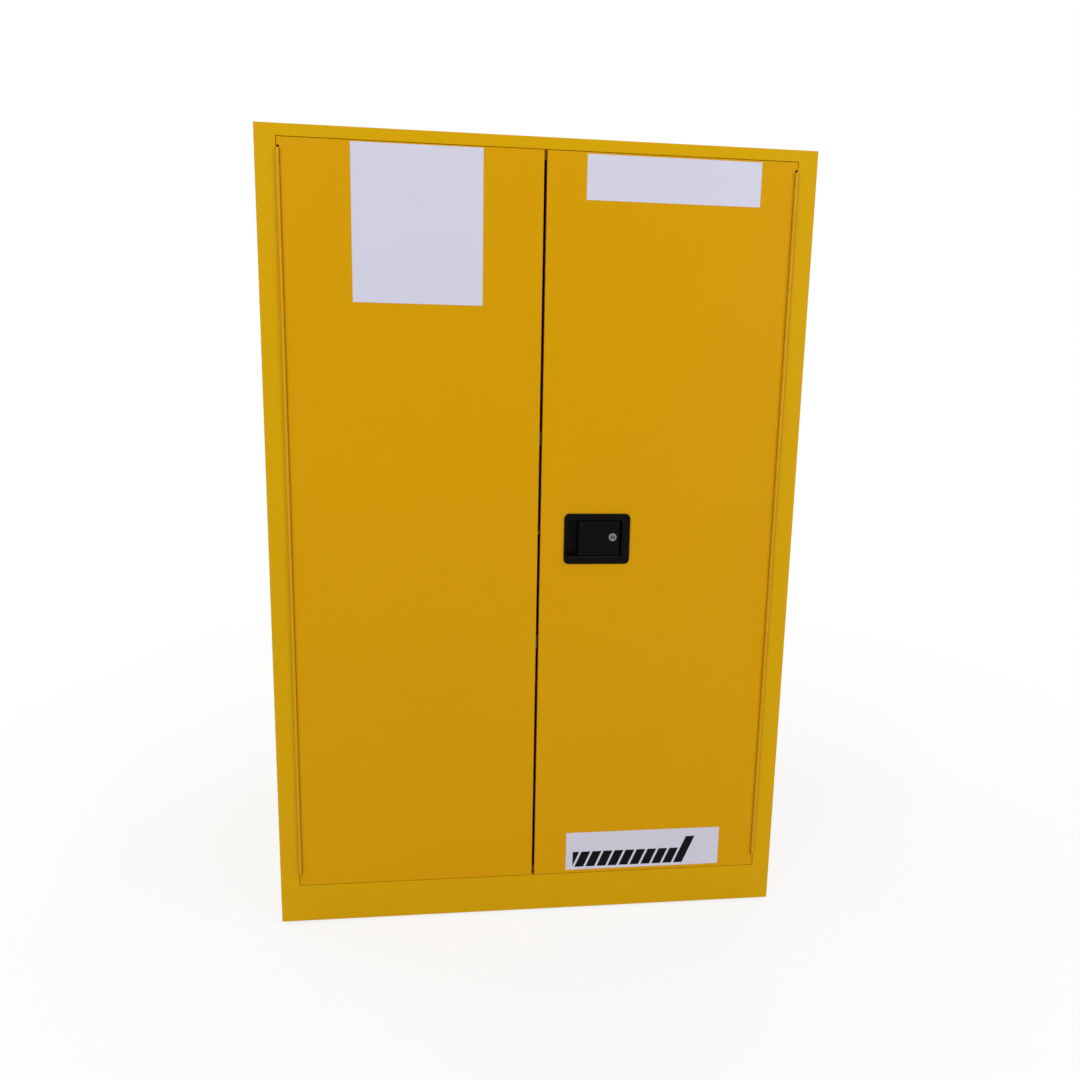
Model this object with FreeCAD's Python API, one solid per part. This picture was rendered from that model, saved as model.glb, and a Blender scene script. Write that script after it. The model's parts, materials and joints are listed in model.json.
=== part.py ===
import FreeCAD
import Part
import math
import os

# Two-door safety cabinet for flammable liquids, double walled, with a three-point latch.
# Millimetres. X runs across the front, Y runs from front to back and Z runs up from the floor.
# Depths are measured back from the outer front face of the body, and a negative depth is in front.

Vector = FreeCAD.Vector

# Body
WIDTH = 1090.0
HEIGHT = 1650.0
DEPTH = 860.0
SHEET = 1.2
AIR_SPACE = 38.0
FOLD_R = 1.0
SHELL_FLANGE = 18.0
FOOT_STAND = 6.0
BASE_RISE = 8.0
BASE_FLANGE = 22.0
SUMP_DEPTH = 50.0

# Front frame
STILE_W = 39.5
HEAD_H = 22.5
SILL_H = 84.5
REBATE = 16.0
LIP_SIDE = 10.0
LIP_SILL = 11.5
FRAME_DEPTH = 48.0
FRAME_RETURN = 20.0

# Doors
DOOR_GAP = 1.0
MEETING_GAP = 6.0
DOOR_DEPTH = 38.0
DOOR_RETURN = 14.0
BOX_GAP = 3.0
CORNER_GAP = 1.0
STIFFENER_X = 345.0
STIFFENER_W = 40.0
STIFFENER_FOOT = 15.0
STIFFENER_INSET = 30.0

# Continuous hinges
PIN_R = 1.75
PIN_CLEAR = 0.05
LEAF_T = 1.2
LEAF_W = 16.5
AXIS_STANDOFF = 0.3
KNUCKLES = 3
KNUCKLE_GAP = 0.5
HINGE_TOP_INSET = 19.5
HINGE_BOTTOM_INSET = 29.5
HINGE_NOTCH = 4.0

# Paddle handle in the right door
HANDLE_X = 121.5
HANDLE_RISE = 856.0
PLATE_W = 139.0
PLATE_H = 108.0
PLATE_T = 3.0
PLATE_CORNER_R = 11.0
PLATE_BEVEL = 1.0
DISH_LEFT = 58.5
DISH_RIGHT = 174.0
DISH_H = 78.0
DISH_RISE = 1.0
DISH_DEPTH = 20.0
DISH_WALL = 2.0
DISH_CORNER_R = 5.0
CUTOUT_CLEAR = 1.0
PADDLE_LEFT = 82.0
PADDLE_T = 3.0
PADDLE_SINK = 0.5
PADDLE_GAP = 2.0
PADDLE_LIP = 7.0
PADDLE_ROUND = 2.8
PADDLE_BUTT = 1.0
PIVOT_X = 168.0
PIVOT_D = 7.6
PIVOT_PIN_R = 2.5
EYE_R = 4.0
LUG_T = 9.0
LUG_INSET = 1.5
TAIL_LEN = 16.4
TAIL_T = 5.0
SPRING_T = 1.0
SPRING_CLEAR = 0.3
SPRING_LEN = 13.0
SPRING_LEG = 18.0

# Key lock in the paddle
LOCK_X = 155.0
LOCK_RISE = 3.0
LOCK_R = 8.5
LOCK_PROUD = 1.2
LOCK_CLEAR = 0.05
LOCK_END_D = 15.5
PLUG_R = 5.5
KEY_SLOT_W = 8.0
KEY_SLOT_H = 1.8
KEY_SLOT_DEPTH = 6.0
CAM_T = 2.0
CAM_GAP = 0.3
CAM_LEN = 30.0
CAM_W = 12.0
KEEPER_W = 14.0
KEEPER_X = 153.0
KEEPER_DROP = 10.0
KEEPER_T = 2.2
KEEPER_GAP = 1.0

# Latch linkage behind the handle
LATCH_PLATE_T = 2.0
LATCH_PLATE_W = 148.0
LATCH_PLATE_H = 100.0
LATCH_PLATE_LEFT = 60.0
HUB_ARM = 32.0
HUB_DRIVE_ARM = 26.0
HUB_T = 3.0
HUB_GAP = 0.3
HUB_HALF_W = 8.0
HUB_BEVEL = 4.0
HUB_BORE_R = 5.05
HUB_PIVOT_R = 5.0
HUB_POST_OVER = 0.3
HUB_MAX = 22.0
DRIVE_PIN_R = 3.0
DRIVE_PIN_REACH = 5.0
DRIVE_GAP = 0.3
DRIVE_SLOT_CLEAR = 0.9
LINK_T = 3.0
LINK_GAP = 0.4
SLOT_CLEAR = 0.3
SLOT_END_CLEAR = 0.5
ROD_R = 4.0
ROD_D = 30.0
ROD_NECK = 75.0
ROD_NECK_OVERLAP = 10.0
WINDOW_CLEAR = 1.5
LINK_STEP = 1.0
ROD_ENGAGE = 8.5
BOLT_ENGAGE = 6.0
BOLT_RISE = 13.0
BOLT_BAR_HALF = 6.0
BOLT_NECK_X = 95.0
GUIDE_T = 2.0
GUIDE_W = 26.0
GUIDE_FOOT = 22.0
GUIDE_BACK = 36.5
GUIDE_CLEAR = 0.3
GUIDE_RISE = 380.0
BOLT_GUIDE_X = 28.0
COVER_W = 170.0
COVER_H = 200.0
COVER_LAP = 15.0
COVER_X = 165.0

# Shelves
STANDARD_W = 30.0
STANDARD_D = 10.0
STANDARD_T = 1.5
STANDARD_FRONT = 115.0
STANDARD_BACK = 120.0
STANDARD_INSET = 24.0
SLOT_PITCH = 150.0
SLOT_W = 4.0
SLOT_H = 14.0
FIRST_SLOT = 40.0
LOWER_SHELF_SLOTS = 3
UPPER_SHELF_SLOTS = 6
BRACKET_T = 2.6
BRACKET_ARM = 32.0
BRACKET_ROOT = 26.0
BRACKET_TIP = 6.0
HOOK_NECK = 6.0
HOOK_DROP = 12.0
HOOK_TAB = 2.4
HOOK_CLEAR = 0.3
SHELF_SIDE_GAP = 4.0
SHELF_FRONT = 68.0
SHELF_BACK_GAP = 20.0
SHELF_LIP = 30.0
SHELF_HEM = 12.0
SHELF_UPSTAND = 12.0

# Wall channels and base channels
CHANNEL_W = 40.0
CHANNEL_FOOT = 15.0
CHANNEL_INSET = 45.0
SIDE_CHANNEL_DEPTHS = (250.0, 610.0)
BACK_CHANNEL_X = 260.0
BASE_CHANNEL_DEPTHS = (160.0, 430.0, 700.0)

# Vents
VENT_DEPTH = 430.0
VENT_LOW_Z = 200.0
VENT_DROP = 206.0
VENT_BORE_R = 30.0
VENT_SLEEVE_R = 34.0
VENT_RIM = 2.0
ARRESTER_T = 5.0
ARRESTER_CLEAR = 0.05
VENT_PLUG_CLEAR = 0.3
VENT_PLUG_LEN = 16.0
PLUG_PROUD = 3.0
PLUG_DRIVE_AF = 28.0
PLUG_DRIVE_T = 7.0

# Earth stud on the right side panel
STUD_R = 4.0
STUD_Z = 66.0
STUD_BACK = 90.0
STUD_COLLAR_AF = 13.0
STUD_COLLAR_T = 6.5

# Levelling feet
FOOT_INSET_X = 55.0
FOOT_INSET_D = 70.0
FOOT_HEX_AF = 36.0
FOOT_HEX_T = 8.0
FOOT_STUD_R = 4.95
FOOT_STUD_TOP_GAP = 5.0
FOOT_THREAD_CLEAR = 0.05
FOOT_NUT_AF = 17.0
FOOT_NUT_T = 10.0

# How far an edge that is picked for a round may lie off its level, and lean off its axis
ON_LEVEL = 1e-4
OFF_AXIS = 1e-3

# Levels and faces that follow from the sizes above
KNUCKLE_R = PIN_R + PIN_CLEAR + LEAF_T
AXIS_D = -(KNUCKLE_R + AXIS_STANDOFF)
HINGE_PROUD = KNUCKLE_R - AXIS_D
FRONT_Y = (HINGE_PROUD - DEPTH) / 2
HALF_W = WIDTH / 2
BODY_BOTTOM = FOOT_STAND
BODY_TOP = FOOT_STAND + HEIGHT
JAMB_X = HALF_W - STILE_W
HINGE_X = JAMB_X - KNUCKLE_R
OPENING_TOP = BODY_TOP - HEAD_H
OPENING_BOTTOM = BODY_BOTTOM + SILL_H
DOORWAY_X = JAMB_X - LIP_SIDE
DOORWAY_TOP = BODY_TOP - 2 * SHEET - AIR_SPACE
DOORWAY_BOTTOM = OPENING_BOTTOM + LIP_SILL
LINER_X = HALF_W - 2 * SHEET - AIR_SPACE
LINER_BACK = DEPTH - 2 * SHEET - AIR_SPACE
SUMP_FLOOR = DOORWAY_BOTTOM - SUMP_DEPTH
SUMP_UNDER = SUMP_FLOOR - SHEET
BASE_UNDER = BODY_BOTTOM + BASE_RISE
BASE_TOP = BASE_UNDER + SHEET
DOOR_TOP = OPENING_TOP - DOOR_GAP
DOOR_BOTTOM = OPENING_BOTTOM + DOOR_GAP
MEET_X = MEETING_GAP / 2
EDGE_X = HINGE_X - KNUCKLE_R
CORNER_X = JAMB_X - CORNER_GAP
BOX_X = DOORWAY_X - BOX_GAP
BOX_TOP = DOORWAY_TOP - BOX_GAP
BOX_BOTTOM = DOORWAY_BOTTOM + BOX_GAP
HINGE_TOP = DOOR_TOP - HINGE_TOP_INSET
HINGE_BOTTOM = DOOR_BOTTOM + HINGE_BOTTOM_INSET
HANDLE_Z = BODY_BOTTOM + HANDLE_RISE
LOCK_Z = HANDLE_Z + LOCK_RISE
DISH_TOP = HANDLE_Z + DISH_RISE + DISH_H / 2
DISH_BOTTOM = DISH_TOP - DISH_H
DISH_BACK = DISH_DEPTH + DISH_WALL
LATCH_PLATE_BACK = DISH_BACK + LATCH_PLATE_T
HUB_FRONT = LATCH_PLATE_BACK + HUB_GAP
HUB_BACK = HUB_FRONT + HUB_T
LINK_FRONT = HUB_BACK + LINK_GAP
LINK_BACK = LINK_FRONT + LINK_T
FAR_LINK_FRONT = LINK_BACK + LINK_GAP
FAR_LINK_BACK = FAR_LINK_FRONT + LINK_T
HUB_X = PIVOT_X - TAIL_T / 2 - DRIVE_GAP - DRIVE_PIN_R
TAIL_Z = DISH_BOTTOM + LUG_INSET + LUG_T / 2
HUB_Z = TAIL_Z + HUB_DRIVE_ARM
BOLT_Z = HUB_Z + BOLT_RISE
PIN_DRIFT = HUB_ARM * (1 - math.cos(math.radians(HUB_MAX)))
UPPER_ROD_X = HUB_X + HUB_ARM
LOWER_ROD_X = HUB_X - HUB_ARM
VENT_HIGH_Z = BODY_TOP - VENT_DROP
STANDARD_X = LINER_X - STANDARD_D
STANDARD_DEPTHS = (STANDARD_FRONT, LINER_BACK - STANDARD_BACK)
STANDARD_BOTTOM = DOORWAY_BOTTOM + STANDARD_INSET
STANDARD_TOP = DOORWAY_TOP - STANDARD_INSET
SHELF_X = STANDARD_X - SHELF_SIDE_GAP
FOOT_X = HALF_W - FOOT_INSET_X
FOOT_DEPTHS = (FOOT_INSET_D, DEPTH - FOOT_INSET_D)
FOOT_THREAD_R = FOOT_STUD_R + FOOT_THREAD_CLEAR
SIDE_PROUD = VENT_RIM + PLUG_PROUD + PLUG_DRIVE_T


def point(x, d, z):
    """A place given by its depth behind the front face."""
    return Vector(x, FRONT_Y + d, z)


def slab(x0, x1, d0, d1, z0, z1):
    """A block between two x, two depths and two heights."""
    return Part.makeBox(x1 - x0, d1 - d0, z1 - z0, point(x0, d0, z0))


def frame_slab(half, z0, z1, inner_half, inner_z0, inner_z1, d0, d1):
    """A flat rectangular frame, centred across the front."""
    outer = slab(-half, half, d0, d1, z0, z1)
    return outer.cut(slab(-inner_half, inner_half, d0, d1, inner_z0, inner_z1))


def rod_x(x0, x1, d, z, radius):
    """A round bar along X."""
    return Part.makeCylinder(radius, x1 - x0, point(x0, d, z), Vector(1, 0, 0))


def rod_y(x, d0, d1, z, radius):
    """A round bar along Y."""
    return Part.makeCylinder(radius, d1 - d0, point(x, d0, z), Vector(0, 1, 0))


def rod_z(x, d, z0, z1, radius):
    """A round bar along Z."""
    return Part.makeCylinder(radius, z1 - z0, point(x, d, z0))


def join(pieces):
    """One solid from pieces that meet."""
    return pieces[0].multiFuse(pieces[1:]).removeSplitter()


def mirrored(shape):
    """The same piece on the other side of the cabinet."""
    return shape.mirror(Vector(0, 0, 0), Vector(1, 0, 0))


def extruded(corners, direction):
    """A prism from a closed outline."""
    return Part.Face(Part.makePolygon(corners + corners[:1])).extrude(direction)


def round_along(shape, axis, radius):
    """Round every straight edge that runs along an axis."""
    picked = []
    for edge in shape.Edges:
        ends = [v.Point for v in edge.Vertexes]
        if len(ends) == 2 and 1 - abs((ends[1] - ends[0]).normalize().dot(axis)) < OFF_AXIS:
            picked.append(edge)
    return shape.makeFillet(radius, picked)


def round_at_depth(shape, depth, radius):
    """Round every edge that lies at one depth."""
    y = FRONT_Y + depth
    picked = [e for e in shape.Edges if all(abs(v.Y - y) < ON_LEVEL for v in e.Vertexes)]
    return shape.makeFillet(radius, picked)


def bevel_at_depth(shape, depth, size):
    """Bevel every edge that lies at one depth."""
    y = FRONT_Y + depth
    picked = [e for e in shape.Edges if all(abs(v.Y - y) < ON_LEVEL for v in e.Vertexes)]
    return shape.makeChamfer(size, picked)


def round_block(x0, x1, d0, d1, z0, z1, radius):
    """A block with its four corners rounded as seen from the front."""
    return round_along(slab(x0, x1, d0, d1, z0, z1), Vector(0, 1, 0), radius)


def hexagon(centre, axis, across_flats, length):
    """A hexagonal bar with two flats facing across the body."""
    side = Vector(0, 0, 1) if abs(axis.z) < 0.5 else Vector(0, 1, 0)
    corners = []
    for i in range(6):
        turn = FreeCAD.Rotation(axis, 60 * i)
        corners.append(centre + turn.multVec(side) * (across_flats / math.sqrt(3)))
    return extruded(corners, axis * length)


def hat_channel(start, across, rise, run, width, foot, height):
    """A hat section: two feet, two legs and a web, folded from one sheet."""
    half = width / 2
    outline = [
        (-half - foot, 0),
        (-half + SHEET, 0),
        (-half + SHEET, height - SHEET),
        (half - SHEET, height - SHEET),
        (half - SHEET, 0),
        (half + foot, 0),
        (half + foot, SHEET),
        (half, SHEET),
        (half, height),
        (-half, height),
        (-half, SHEET),
        (-half - foot, SHEET),
    ]
    return extruded([start + across * u + rise * v for u, v in outline], run)


def rod_window(x, z):
    """Square clearance for an upright rod through the sheet at one height."""
    half = ROD_R + WINDOW_CLEAR
    return slab(x - half, x + half, ROD_D - half, ROD_D + half, z - 2 * SHEET, z + 2 * SHEET)


def front_frame():
    """Welded frame: face, rebate, lip behind the doors, inner tube and the two returns."""
    face = frame_slab(
        HALF_W, BODY_BOTTOM, BODY_TOP, JAMB_X, OPENING_BOTTOM, OPENING_TOP, 0, SHEET
    )
    jamb = frame_slab(
        JAMB_X + SHEET,
        OPENING_BOTTOM - SHEET,
        OPENING_TOP + SHEET,
        JAMB_X,
        OPENING_BOTTOM,
        OPENING_TOP,
        0,
        REBATE + SHEET,
    )
    skin = round_at_depth(join([face, jamb]), 0, FOLD_R)
    lip = frame_slab(
        JAMB_X + SHEET,
        OPENING_BOTTOM - SHEET,
        OPENING_TOP + SHEET,
        DOORWAY_X,
        DOORWAY_BOTTOM,
        DOORWAY_TOP,
        REBATE,
        REBATE + SHEET,
    )
    tube = frame_slab(
        DOORWAY_X + SHEET,
        DOORWAY_BOTTOM - SHEET,
        DOORWAY_TOP + SHEET,
        DOORWAY_X,
        DOORWAY_BOTTOM,
        DOORWAY_TOP,
        REBATE,
        FRAME_DEPTH,
    )
    rear = frame_slab(
        LINER_X + SHEET,
        SUMP_UNDER,
        DOORWAY_TOP + SHEET,
        DOORWAY_X,
        DOORWAY_BOTTOM,
        DOORWAY_TOP,
        FRAME_DEPTH - SHEET,
        FRAME_DEPTH,
    )
    outer = frame_slab(
        HALF_W - SHEET,
        BODY_BOTTOM,
        BODY_TOP - SHEET,
        HALF_W - 2 * SHEET,
        BODY_BOTTOM + SHEET,
        BODY_TOP - 2 * SHEET,
        SHEET,
        FRAME_RETURN,
    )
    frame = join([skin, lip, tube, rear, outer])
    frame = frame.cut(rod_window(UPPER_ROD_X, DOORWAY_TOP))
    return frame.cut(rod_window(LOWER_ROD_X, DOORWAY_BOTTOM))


def side_panel():
    """Right outer side with its top, bottom and back flanges folded in."""
    inside = HALF_W - SHEET
    flange_x = inside - SHELL_FLANGE
    front = FRAME_RETURN
    back = DEPTH - SHEET
    plate = slab(inside, HALF_W, SHEET, back, BODY_BOTTOM, BODY_TOP - SHEET)
    top = slab(flange_x, inside, front, back, BODY_TOP - 2 * SHEET, BODY_TOP - SHEET)
    bottom = slab(flange_x, inside, front, back, BODY_BOTTOM, BODY_BOTTOM + SHEET)
    rear = slab(flange_x, inside, back - SHEET, back, BODY_BOTTOM, BODY_TOP - SHEET)
    return join([plate, top, bottom, rear])


def vent_hole(side, z):
    """The round cut for a vent sleeve through one double wall."""
    cut = rod_x(LINER_X - SHEET, HALF_W + SHEET, VENT_DEPTH, z, VENT_SLEEVE_R)
    return cut if side > 0 else mirrored(cut)


def right_side_panel():
    """Outer right side, with the high vent hole."""
    return side_panel().cut(vent_hole(1, VENT_HIGH_Z))


def left_side_panel():
    """Outer left side, with the low vent hole."""
    return mirrored(side_panel()).cut(vent_hole(-1, VENT_LOW_Z))


def top_panel():
    """Outer top sheet, folded over the sides and the back."""
    plate = slab(-HALF_W, HALF_W, SHEET, DEPTH, BODY_TOP - SHEET, BODY_TOP)
    picked = []
    for edge in plate.Edges:
        at_top = all(abs(v.Z - BODY_TOP) < ON_LEVEL for v in edge.Vertexes)
        at_front = all(abs(v.Y - FRONT_Y - SHEET) < ON_LEVEL for v in edge.Vertexes)
        if at_top and not at_front:
            picked.append(edge)
    return plate.makeFillet(FOLD_R, picked)


def back_panel():
    """Outer back sheet between the top panel and the floor line."""
    return slab(-HALF_W, HALF_W, DEPTH - SHEET, DEPTH, BODY_BOTTOM, BODY_TOP - SHEET)


def base_panel():
    """Outer bottom sheet, raised above the skirt, with its edges turned up."""
    half = HALF_W - SHEET
    front = FRAME_RETURN
    back = DEPTH - 2 * SHEET
    tray = slab(-half, half, front, back, BASE_UNDER, BASE_UNDER + BASE_FLANGE)
    inner = slab(
        -half + SHEET, half - SHEET, front + SHEET, back - SHEET, BASE_TOP, BASE_UNDER + BASE_FLANGE
    )
    panel = tray.cut(inner)
    for x, d in foot_places():
        panel = panel.cut(foot_nut_blank(x, d))
    return panel


def right_liner():
    """Inner right wall, with the high vent hole."""
    wall = slab(LINER_X, LINER_X + SHEET, FRAME_DEPTH, LINER_BACK, SUMP_UNDER, DOORWAY_TOP)
    return wall.cut(vent_hole(1, VENT_HIGH_Z))


def left_liner():
    """Inner left wall, with the low vent hole."""
    wall = slab(-LINER_X - SHEET, -LINER_X, FRAME_DEPTH, LINER_BACK, SUMP_UNDER, DOORWAY_TOP)
    return wall.cut(vent_hole(-1, VENT_LOW_Z))


def back_liner():
    """Inner back wall."""
    half = LINER_X + SHEET
    return slab(-half, half, LINER_BACK, LINER_BACK + SHEET, SUMP_UNDER, DOORWAY_TOP)


def top_liner():
    """Inner ceiling, resting on the inner walls."""
    half = LINER_X + SHEET
    return slab(
        -half, half, FRAME_DEPTH, LINER_BACK + SHEET, DOORWAY_TOP, DOORWAY_TOP + SHEET
    )


def sump_pan():
    """Leak-proof pan that makes the floor of the inside."""
    pan = slab(-LINER_X, LINER_X, FRAME_DEPTH, LINER_BACK, SUMP_UNDER, DOORWAY_BOTTOM)
    hollow = slab(
        -LINER_X + SHEET,
        LINER_X - SHEET,
        FRAME_DEPTH + SHEET,
        LINER_BACK - SHEET,
        SUMP_FLOOR,
        DOORWAY_BOTTOM,
    )
    return pan.cut(hollow)


def base_channels():
    """Cross members that carry the sump and the inner walls."""
    half = LINER_X + SHEET
    height = SUMP_UNDER - BASE_TOP
    return [
        hat_channel(
            point(-half, d, BASE_TOP),
            Vector(0, 1, 0),
            Vector(0, 0, 1),
            Vector(2 * half, 0, 0),
            CHANNEL_W,
            CHANNEL_FOOT,
            height,
        )
        for d in BASE_CHANNEL_DEPTHS
    ]


def wall_channels():
    """Upright spacers between the two skins of the sides and the back."""
    bottom = SUMP_UNDER + CHANNEL_INSET
    run = Vector(0, 0, DOORWAY_TOP - CHANNEL_INSET - bottom)
    channels = []
    for d in SIDE_CHANNEL_DEPTHS:
        right = hat_channel(
            point(LINER_X + SHEET, d, bottom),
            Vector(0, 1, 0),
            Vector(1, 0, 0),
            run,
            CHANNEL_W,
            CHANNEL_FOOT,
            AIR_SPACE,
        )
        channels += [right, mirrored(right)]
    for x in (-BACK_CHANNEL_X, BACK_CHANNEL_X):
        channels.append(
            hat_channel(
                point(x, LINER_BACK + SHEET, bottom),
                Vector(1, 0, 0),
                Vector(0, 1, 0),
                run,
                CHANNEL_W,
                CHANNEL_FOOT,
                AIR_SPACE,
            )
        )
    return channels


def slot_heights():
    """Lower edges of the slots in a shelf standard."""
    count = int((STANDARD_TOP - STANDARD_BOTTOM - FIRST_SLOT - SLOT_H) // SLOT_PITCH) + 1
    return [STANDARD_BOTTOM + FIRST_SLOT + SLOT_PITCH * i for i in range(count)]


def shelf_standards():
    """Four slotted uprights on the inner side walls."""
    standards = []
    for d in STANDARD_DEPTHS:
        half = STANDARD_W / 2
        outer = slab(STANDARD_X, LINER_X, d - half, d + half, STANDARD_BOTTOM, STANDARD_TOP)
        hollow = slab(
            STANDARD_X + STANDARD_T,
            LINER_X,
            d - half + STANDARD_T,
            d + half - STANDARD_T,
            STANDARD_BOTTOM,
            STANDARD_TOP,
        )
        slots = [
            slab(STANDARD_X, STANDARD_X + STANDARD_T, d - SLOT_W / 2, d + SLOT_W / 2, z, z + SLOT_H)
            for z in slot_heights()
        ]
        right = outer.cut(hollow).cut(Part.makeCompound(slots))
        standards += [right, mirrored(right)]
    return standards


def shelf_underside(slot):
    """Height at which brackets in a slot carry a shelf."""
    return slot_heights()[slot] + HOOK_NECK + BRACKET_TIP


def shelf_bracket(d, slot):
    """A flat hook that hangs in one slot of a right-hand standard."""
    top = shelf_underside(slot)
    neck_low = slot_heights()[slot]
    neck_high = neck_low + HOOK_NECK
    behind = STANDARD_X + STANDARD_T + HOOK_CLEAR
    outline = [
        (STANDARD_X, top),
        (STANDARD_X - BRACKET_ARM, top),
        (STANDARD_X - BRACKET_ARM, top - BRACKET_TIP),
        (STANDARD_X - BRACKET_TIP, top - BRACKET_ROOT),
        (STANDARD_X, top - BRACKET_ROOT),
        (STANDARD_X, neck_low),
        (behind, neck_low),
        (behind, neck_high - HOOK_DROP),
        (behind + HOOK_TAB, neck_high - HOOK_DROP),
        (behind + HOOK_TAB, neck_high),
        (STANDARD_X, neck_high),
    ]
    corners = [point(x, d - BRACKET_T / 2, z) for x, z in outline]
    return extruded(corners, Vector(0, BRACKET_T, 0))


def shelf_brackets():
    """Four brackets under each shelf."""
    brackets = []
    for slot in (LOWER_SHELF_SLOTS, UPPER_SHELF_SLOTS):
        for d in STANDARD_DEPTHS:
            right = shelf_bracket(d, slot)
            brackets += [right, mirrored(right)]
    return brackets


def shelf(slot):
    """A folded shelf: plate, front and back lips with hems, and low side upstands."""
    under = shelf_underside(slot)
    top = under + SHEET
    back = LINER_BACK - SHELF_BACK_GAP
    low = top - SHELF_LIP
    outline = [
        (SHELF_FRONT, top),
        (back, top),
        (back, low),
        (back - SHELF_HEM, low),
        (back - SHELF_HEM, low + SHEET),
        (back - SHEET, low + SHEET),
        (back - SHEET, under),
        (SHELF_FRONT + SHEET, under),
        (SHELF_FRONT + SHEET, low + SHEET),
        (SHELF_FRONT + SHELF_HEM, low + SHEET),
        (SHELF_FRONT + SHELF_HEM, low),
        (SHELF_FRONT, low),
    ]
    corners = [point(-SHELF_X, d, z) for d, z in outline]
    tray = extruded(corners, Vector(2 * SHELF_X, 0, 0))
    edge = slab(
        SHELF_X - SHEET, SHELF_X, SHELF_FRONT + SHELF_HEM, back - SHELF_HEM, top, top + SHELF_UPSTAND
    )
    return join([tray, edge, mirrored(edge)])


def knuckle_edges():
    """Heights where one knuckle of a hinge ends and the next begins."""
    pitch = (HINGE_TOP - HINGE_BOTTOM) / KNUCKLES
    return [HINGE_BOTTOM + pitch * i for i in range(KNUCKLES + 1)]


def hinge_leaf(side, first_knuckle):
    """One leaf of the right hinge: side 1 lies on the jamb, side -1 on the door edge."""
    bottom = HINGE_BOTTOM + KNUCKLE_GAP / 2
    length = HINGE_TOP - HINGE_BOTTOM - KNUCKLE_GAP
    inside = KNUCKLE_R - LEAF_T
    meet = math.sqrt(KNUCKLE_R**2 - inside**2)

    def place(u, v):
        return point(HINGE_X + side * u, AXIS_D + v, bottom)

    edges = [
        Part.LineSegment(place(KNUCKLE_R, 0), place(KNUCKLE_R, LEAF_W)).toShape(),
        Part.LineSegment(place(KNUCKLE_R, LEAF_W), place(inside, LEAF_W)).toShape(),
        Part.LineSegment(place(inside, LEAF_W), place(inside, meet)).toShape(),
        Part.Arc(place(inside, meet), place(-KNUCKLE_R, 0), place(KNUCKLE_R, 0)).toShape(),
    ]
    leaf = Part.Face(Part.Wire(edges)).extrude(Vector(0, 0, length))
    levels = knuckle_edges()
    reach = KNUCKLE_R + LEAF_T
    for i in range(1 - first_knuckle, KNUCKLES, 2):
        notch = slab(
            HINGE_X - reach,
            HINGE_X + reach,
            AXIS_D - reach,
            AXIS_D + KNUCKLE_R + AXIS_STANDOFF,
            levels[i] - KNUCKLE_GAP / 2,
            levels[i + 1] + KNUCKLE_GAP / 2,
        )
        leaf = leaf.cut(notch)
    return leaf


def frame_leaf():
    """Leaf of the right hinge on the jamb, with the pin fixed in its knuckles."""
    pin = rod_z(HINGE_X, AXIS_D, HINGE_BOTTOM + KNUCKLE_GAP, HINGE_TOP - KNUCKLE_GAP, PIN_R)
    return join([hinge_leaf(1, 0), pin])


def door_leaf():
    """Leaf of the right hinge on the door edge, with its knuckles bored for the pin."""
    return hinge_leaf(-1, 1).cut(rod_z(HINGE_X, AXIS_D, HINGE_BOTTOM, HINGE_TOP, PIN_R + PIN_CLEAR))


def door_skin():
    """Outer pan of the right door, before the handle is cut in."""
    pan = slab(MEET_X, EDGE_X, 0, DOOR_RETURN, DOOR_BOTTOM, DOOR_TOP)
    corners = [
        slab(EDGE_X, CORNER_X, 0, SHEET, DOOR_BOTTOM, HINGE_BOTTOM - HINGE_NOTCH),
        slab(EDGE_X, CORNER_X, 0, SHEET, HINGE_TOP + HINGE_NOTCH, DOOR_TOP),
    ]
    outer = round_at_depth(join([pan] + corners), 0, FOLD_R)
    hollow = slab(
        MEET_X + SHEET, EDGE_X - SHEET, SHEET, DOOR_RETURN, DOOR_BOTTOM + SHEET, DOOR_TOP - SHEET
    )
    edge = slab(MEET_X, MEET_X + SHEET, DOOR_RETURN, DOOR_DEPTH, BOX_BOTTOM, BOX_TOP)
    return join([outer.cut(hollow), edge])


def bolt_window():
    """Square clearance for the centre bolt through the meeting edges of both doors."""
    half = ROD_R + WINDOW_CLEAR
    reach = MEET_X + 3 * SHEET
    return slab(-reach, reach, ROD_D - half, ROD_D + half, BOLT_Z - half, BOLT_Z + half)


def left_door_skin():
    """Outer pan of the left door, pierced for the centre bolt."""
    return mirrored(door_skin()).cut(bolt_window())


def right_door_skin():
    """Outer pan of the right door, cut for the handle and the centre bolt."""
    margin = DISH_WALL + CUTOUT_CLEAR
    dish = slab(
        DISH_LEFT - margin, DISH_RIGHT + margin, 0, SHEET, DISH_BOTTOM - margin, DISH_TOP + margin
    )
    return door_skin().cut(dish).cut(bolt_window())


def door_inner():
    """Inner pan of the right door with its flange inside the returns of the skin."""
    left = MEET_X + SHEET
    flange_front = DOOR_RETURN - SHEET
    block = slab(left, BOX_X, flange_front, DOOR_DEPTH, BOX_BOTTOM, BOX_TOP)
    hollow = slab(
        left + SHEET,
        BOX_X - SHEET,
        flange_front,
        DOOR_DEPTH - SHEET,
        BOX_BOTTOM + SHEET,
        BOX_TOP - SHEET,
    )
    flange = slab(
        left, EDGE_X - SHEET, flange_front, DOOR_RETURN, DOOR_BOTTOM + SHEET, DOOR_TOP - SHEET
    )
    return join([block, flange]).cut(hollow)


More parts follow.
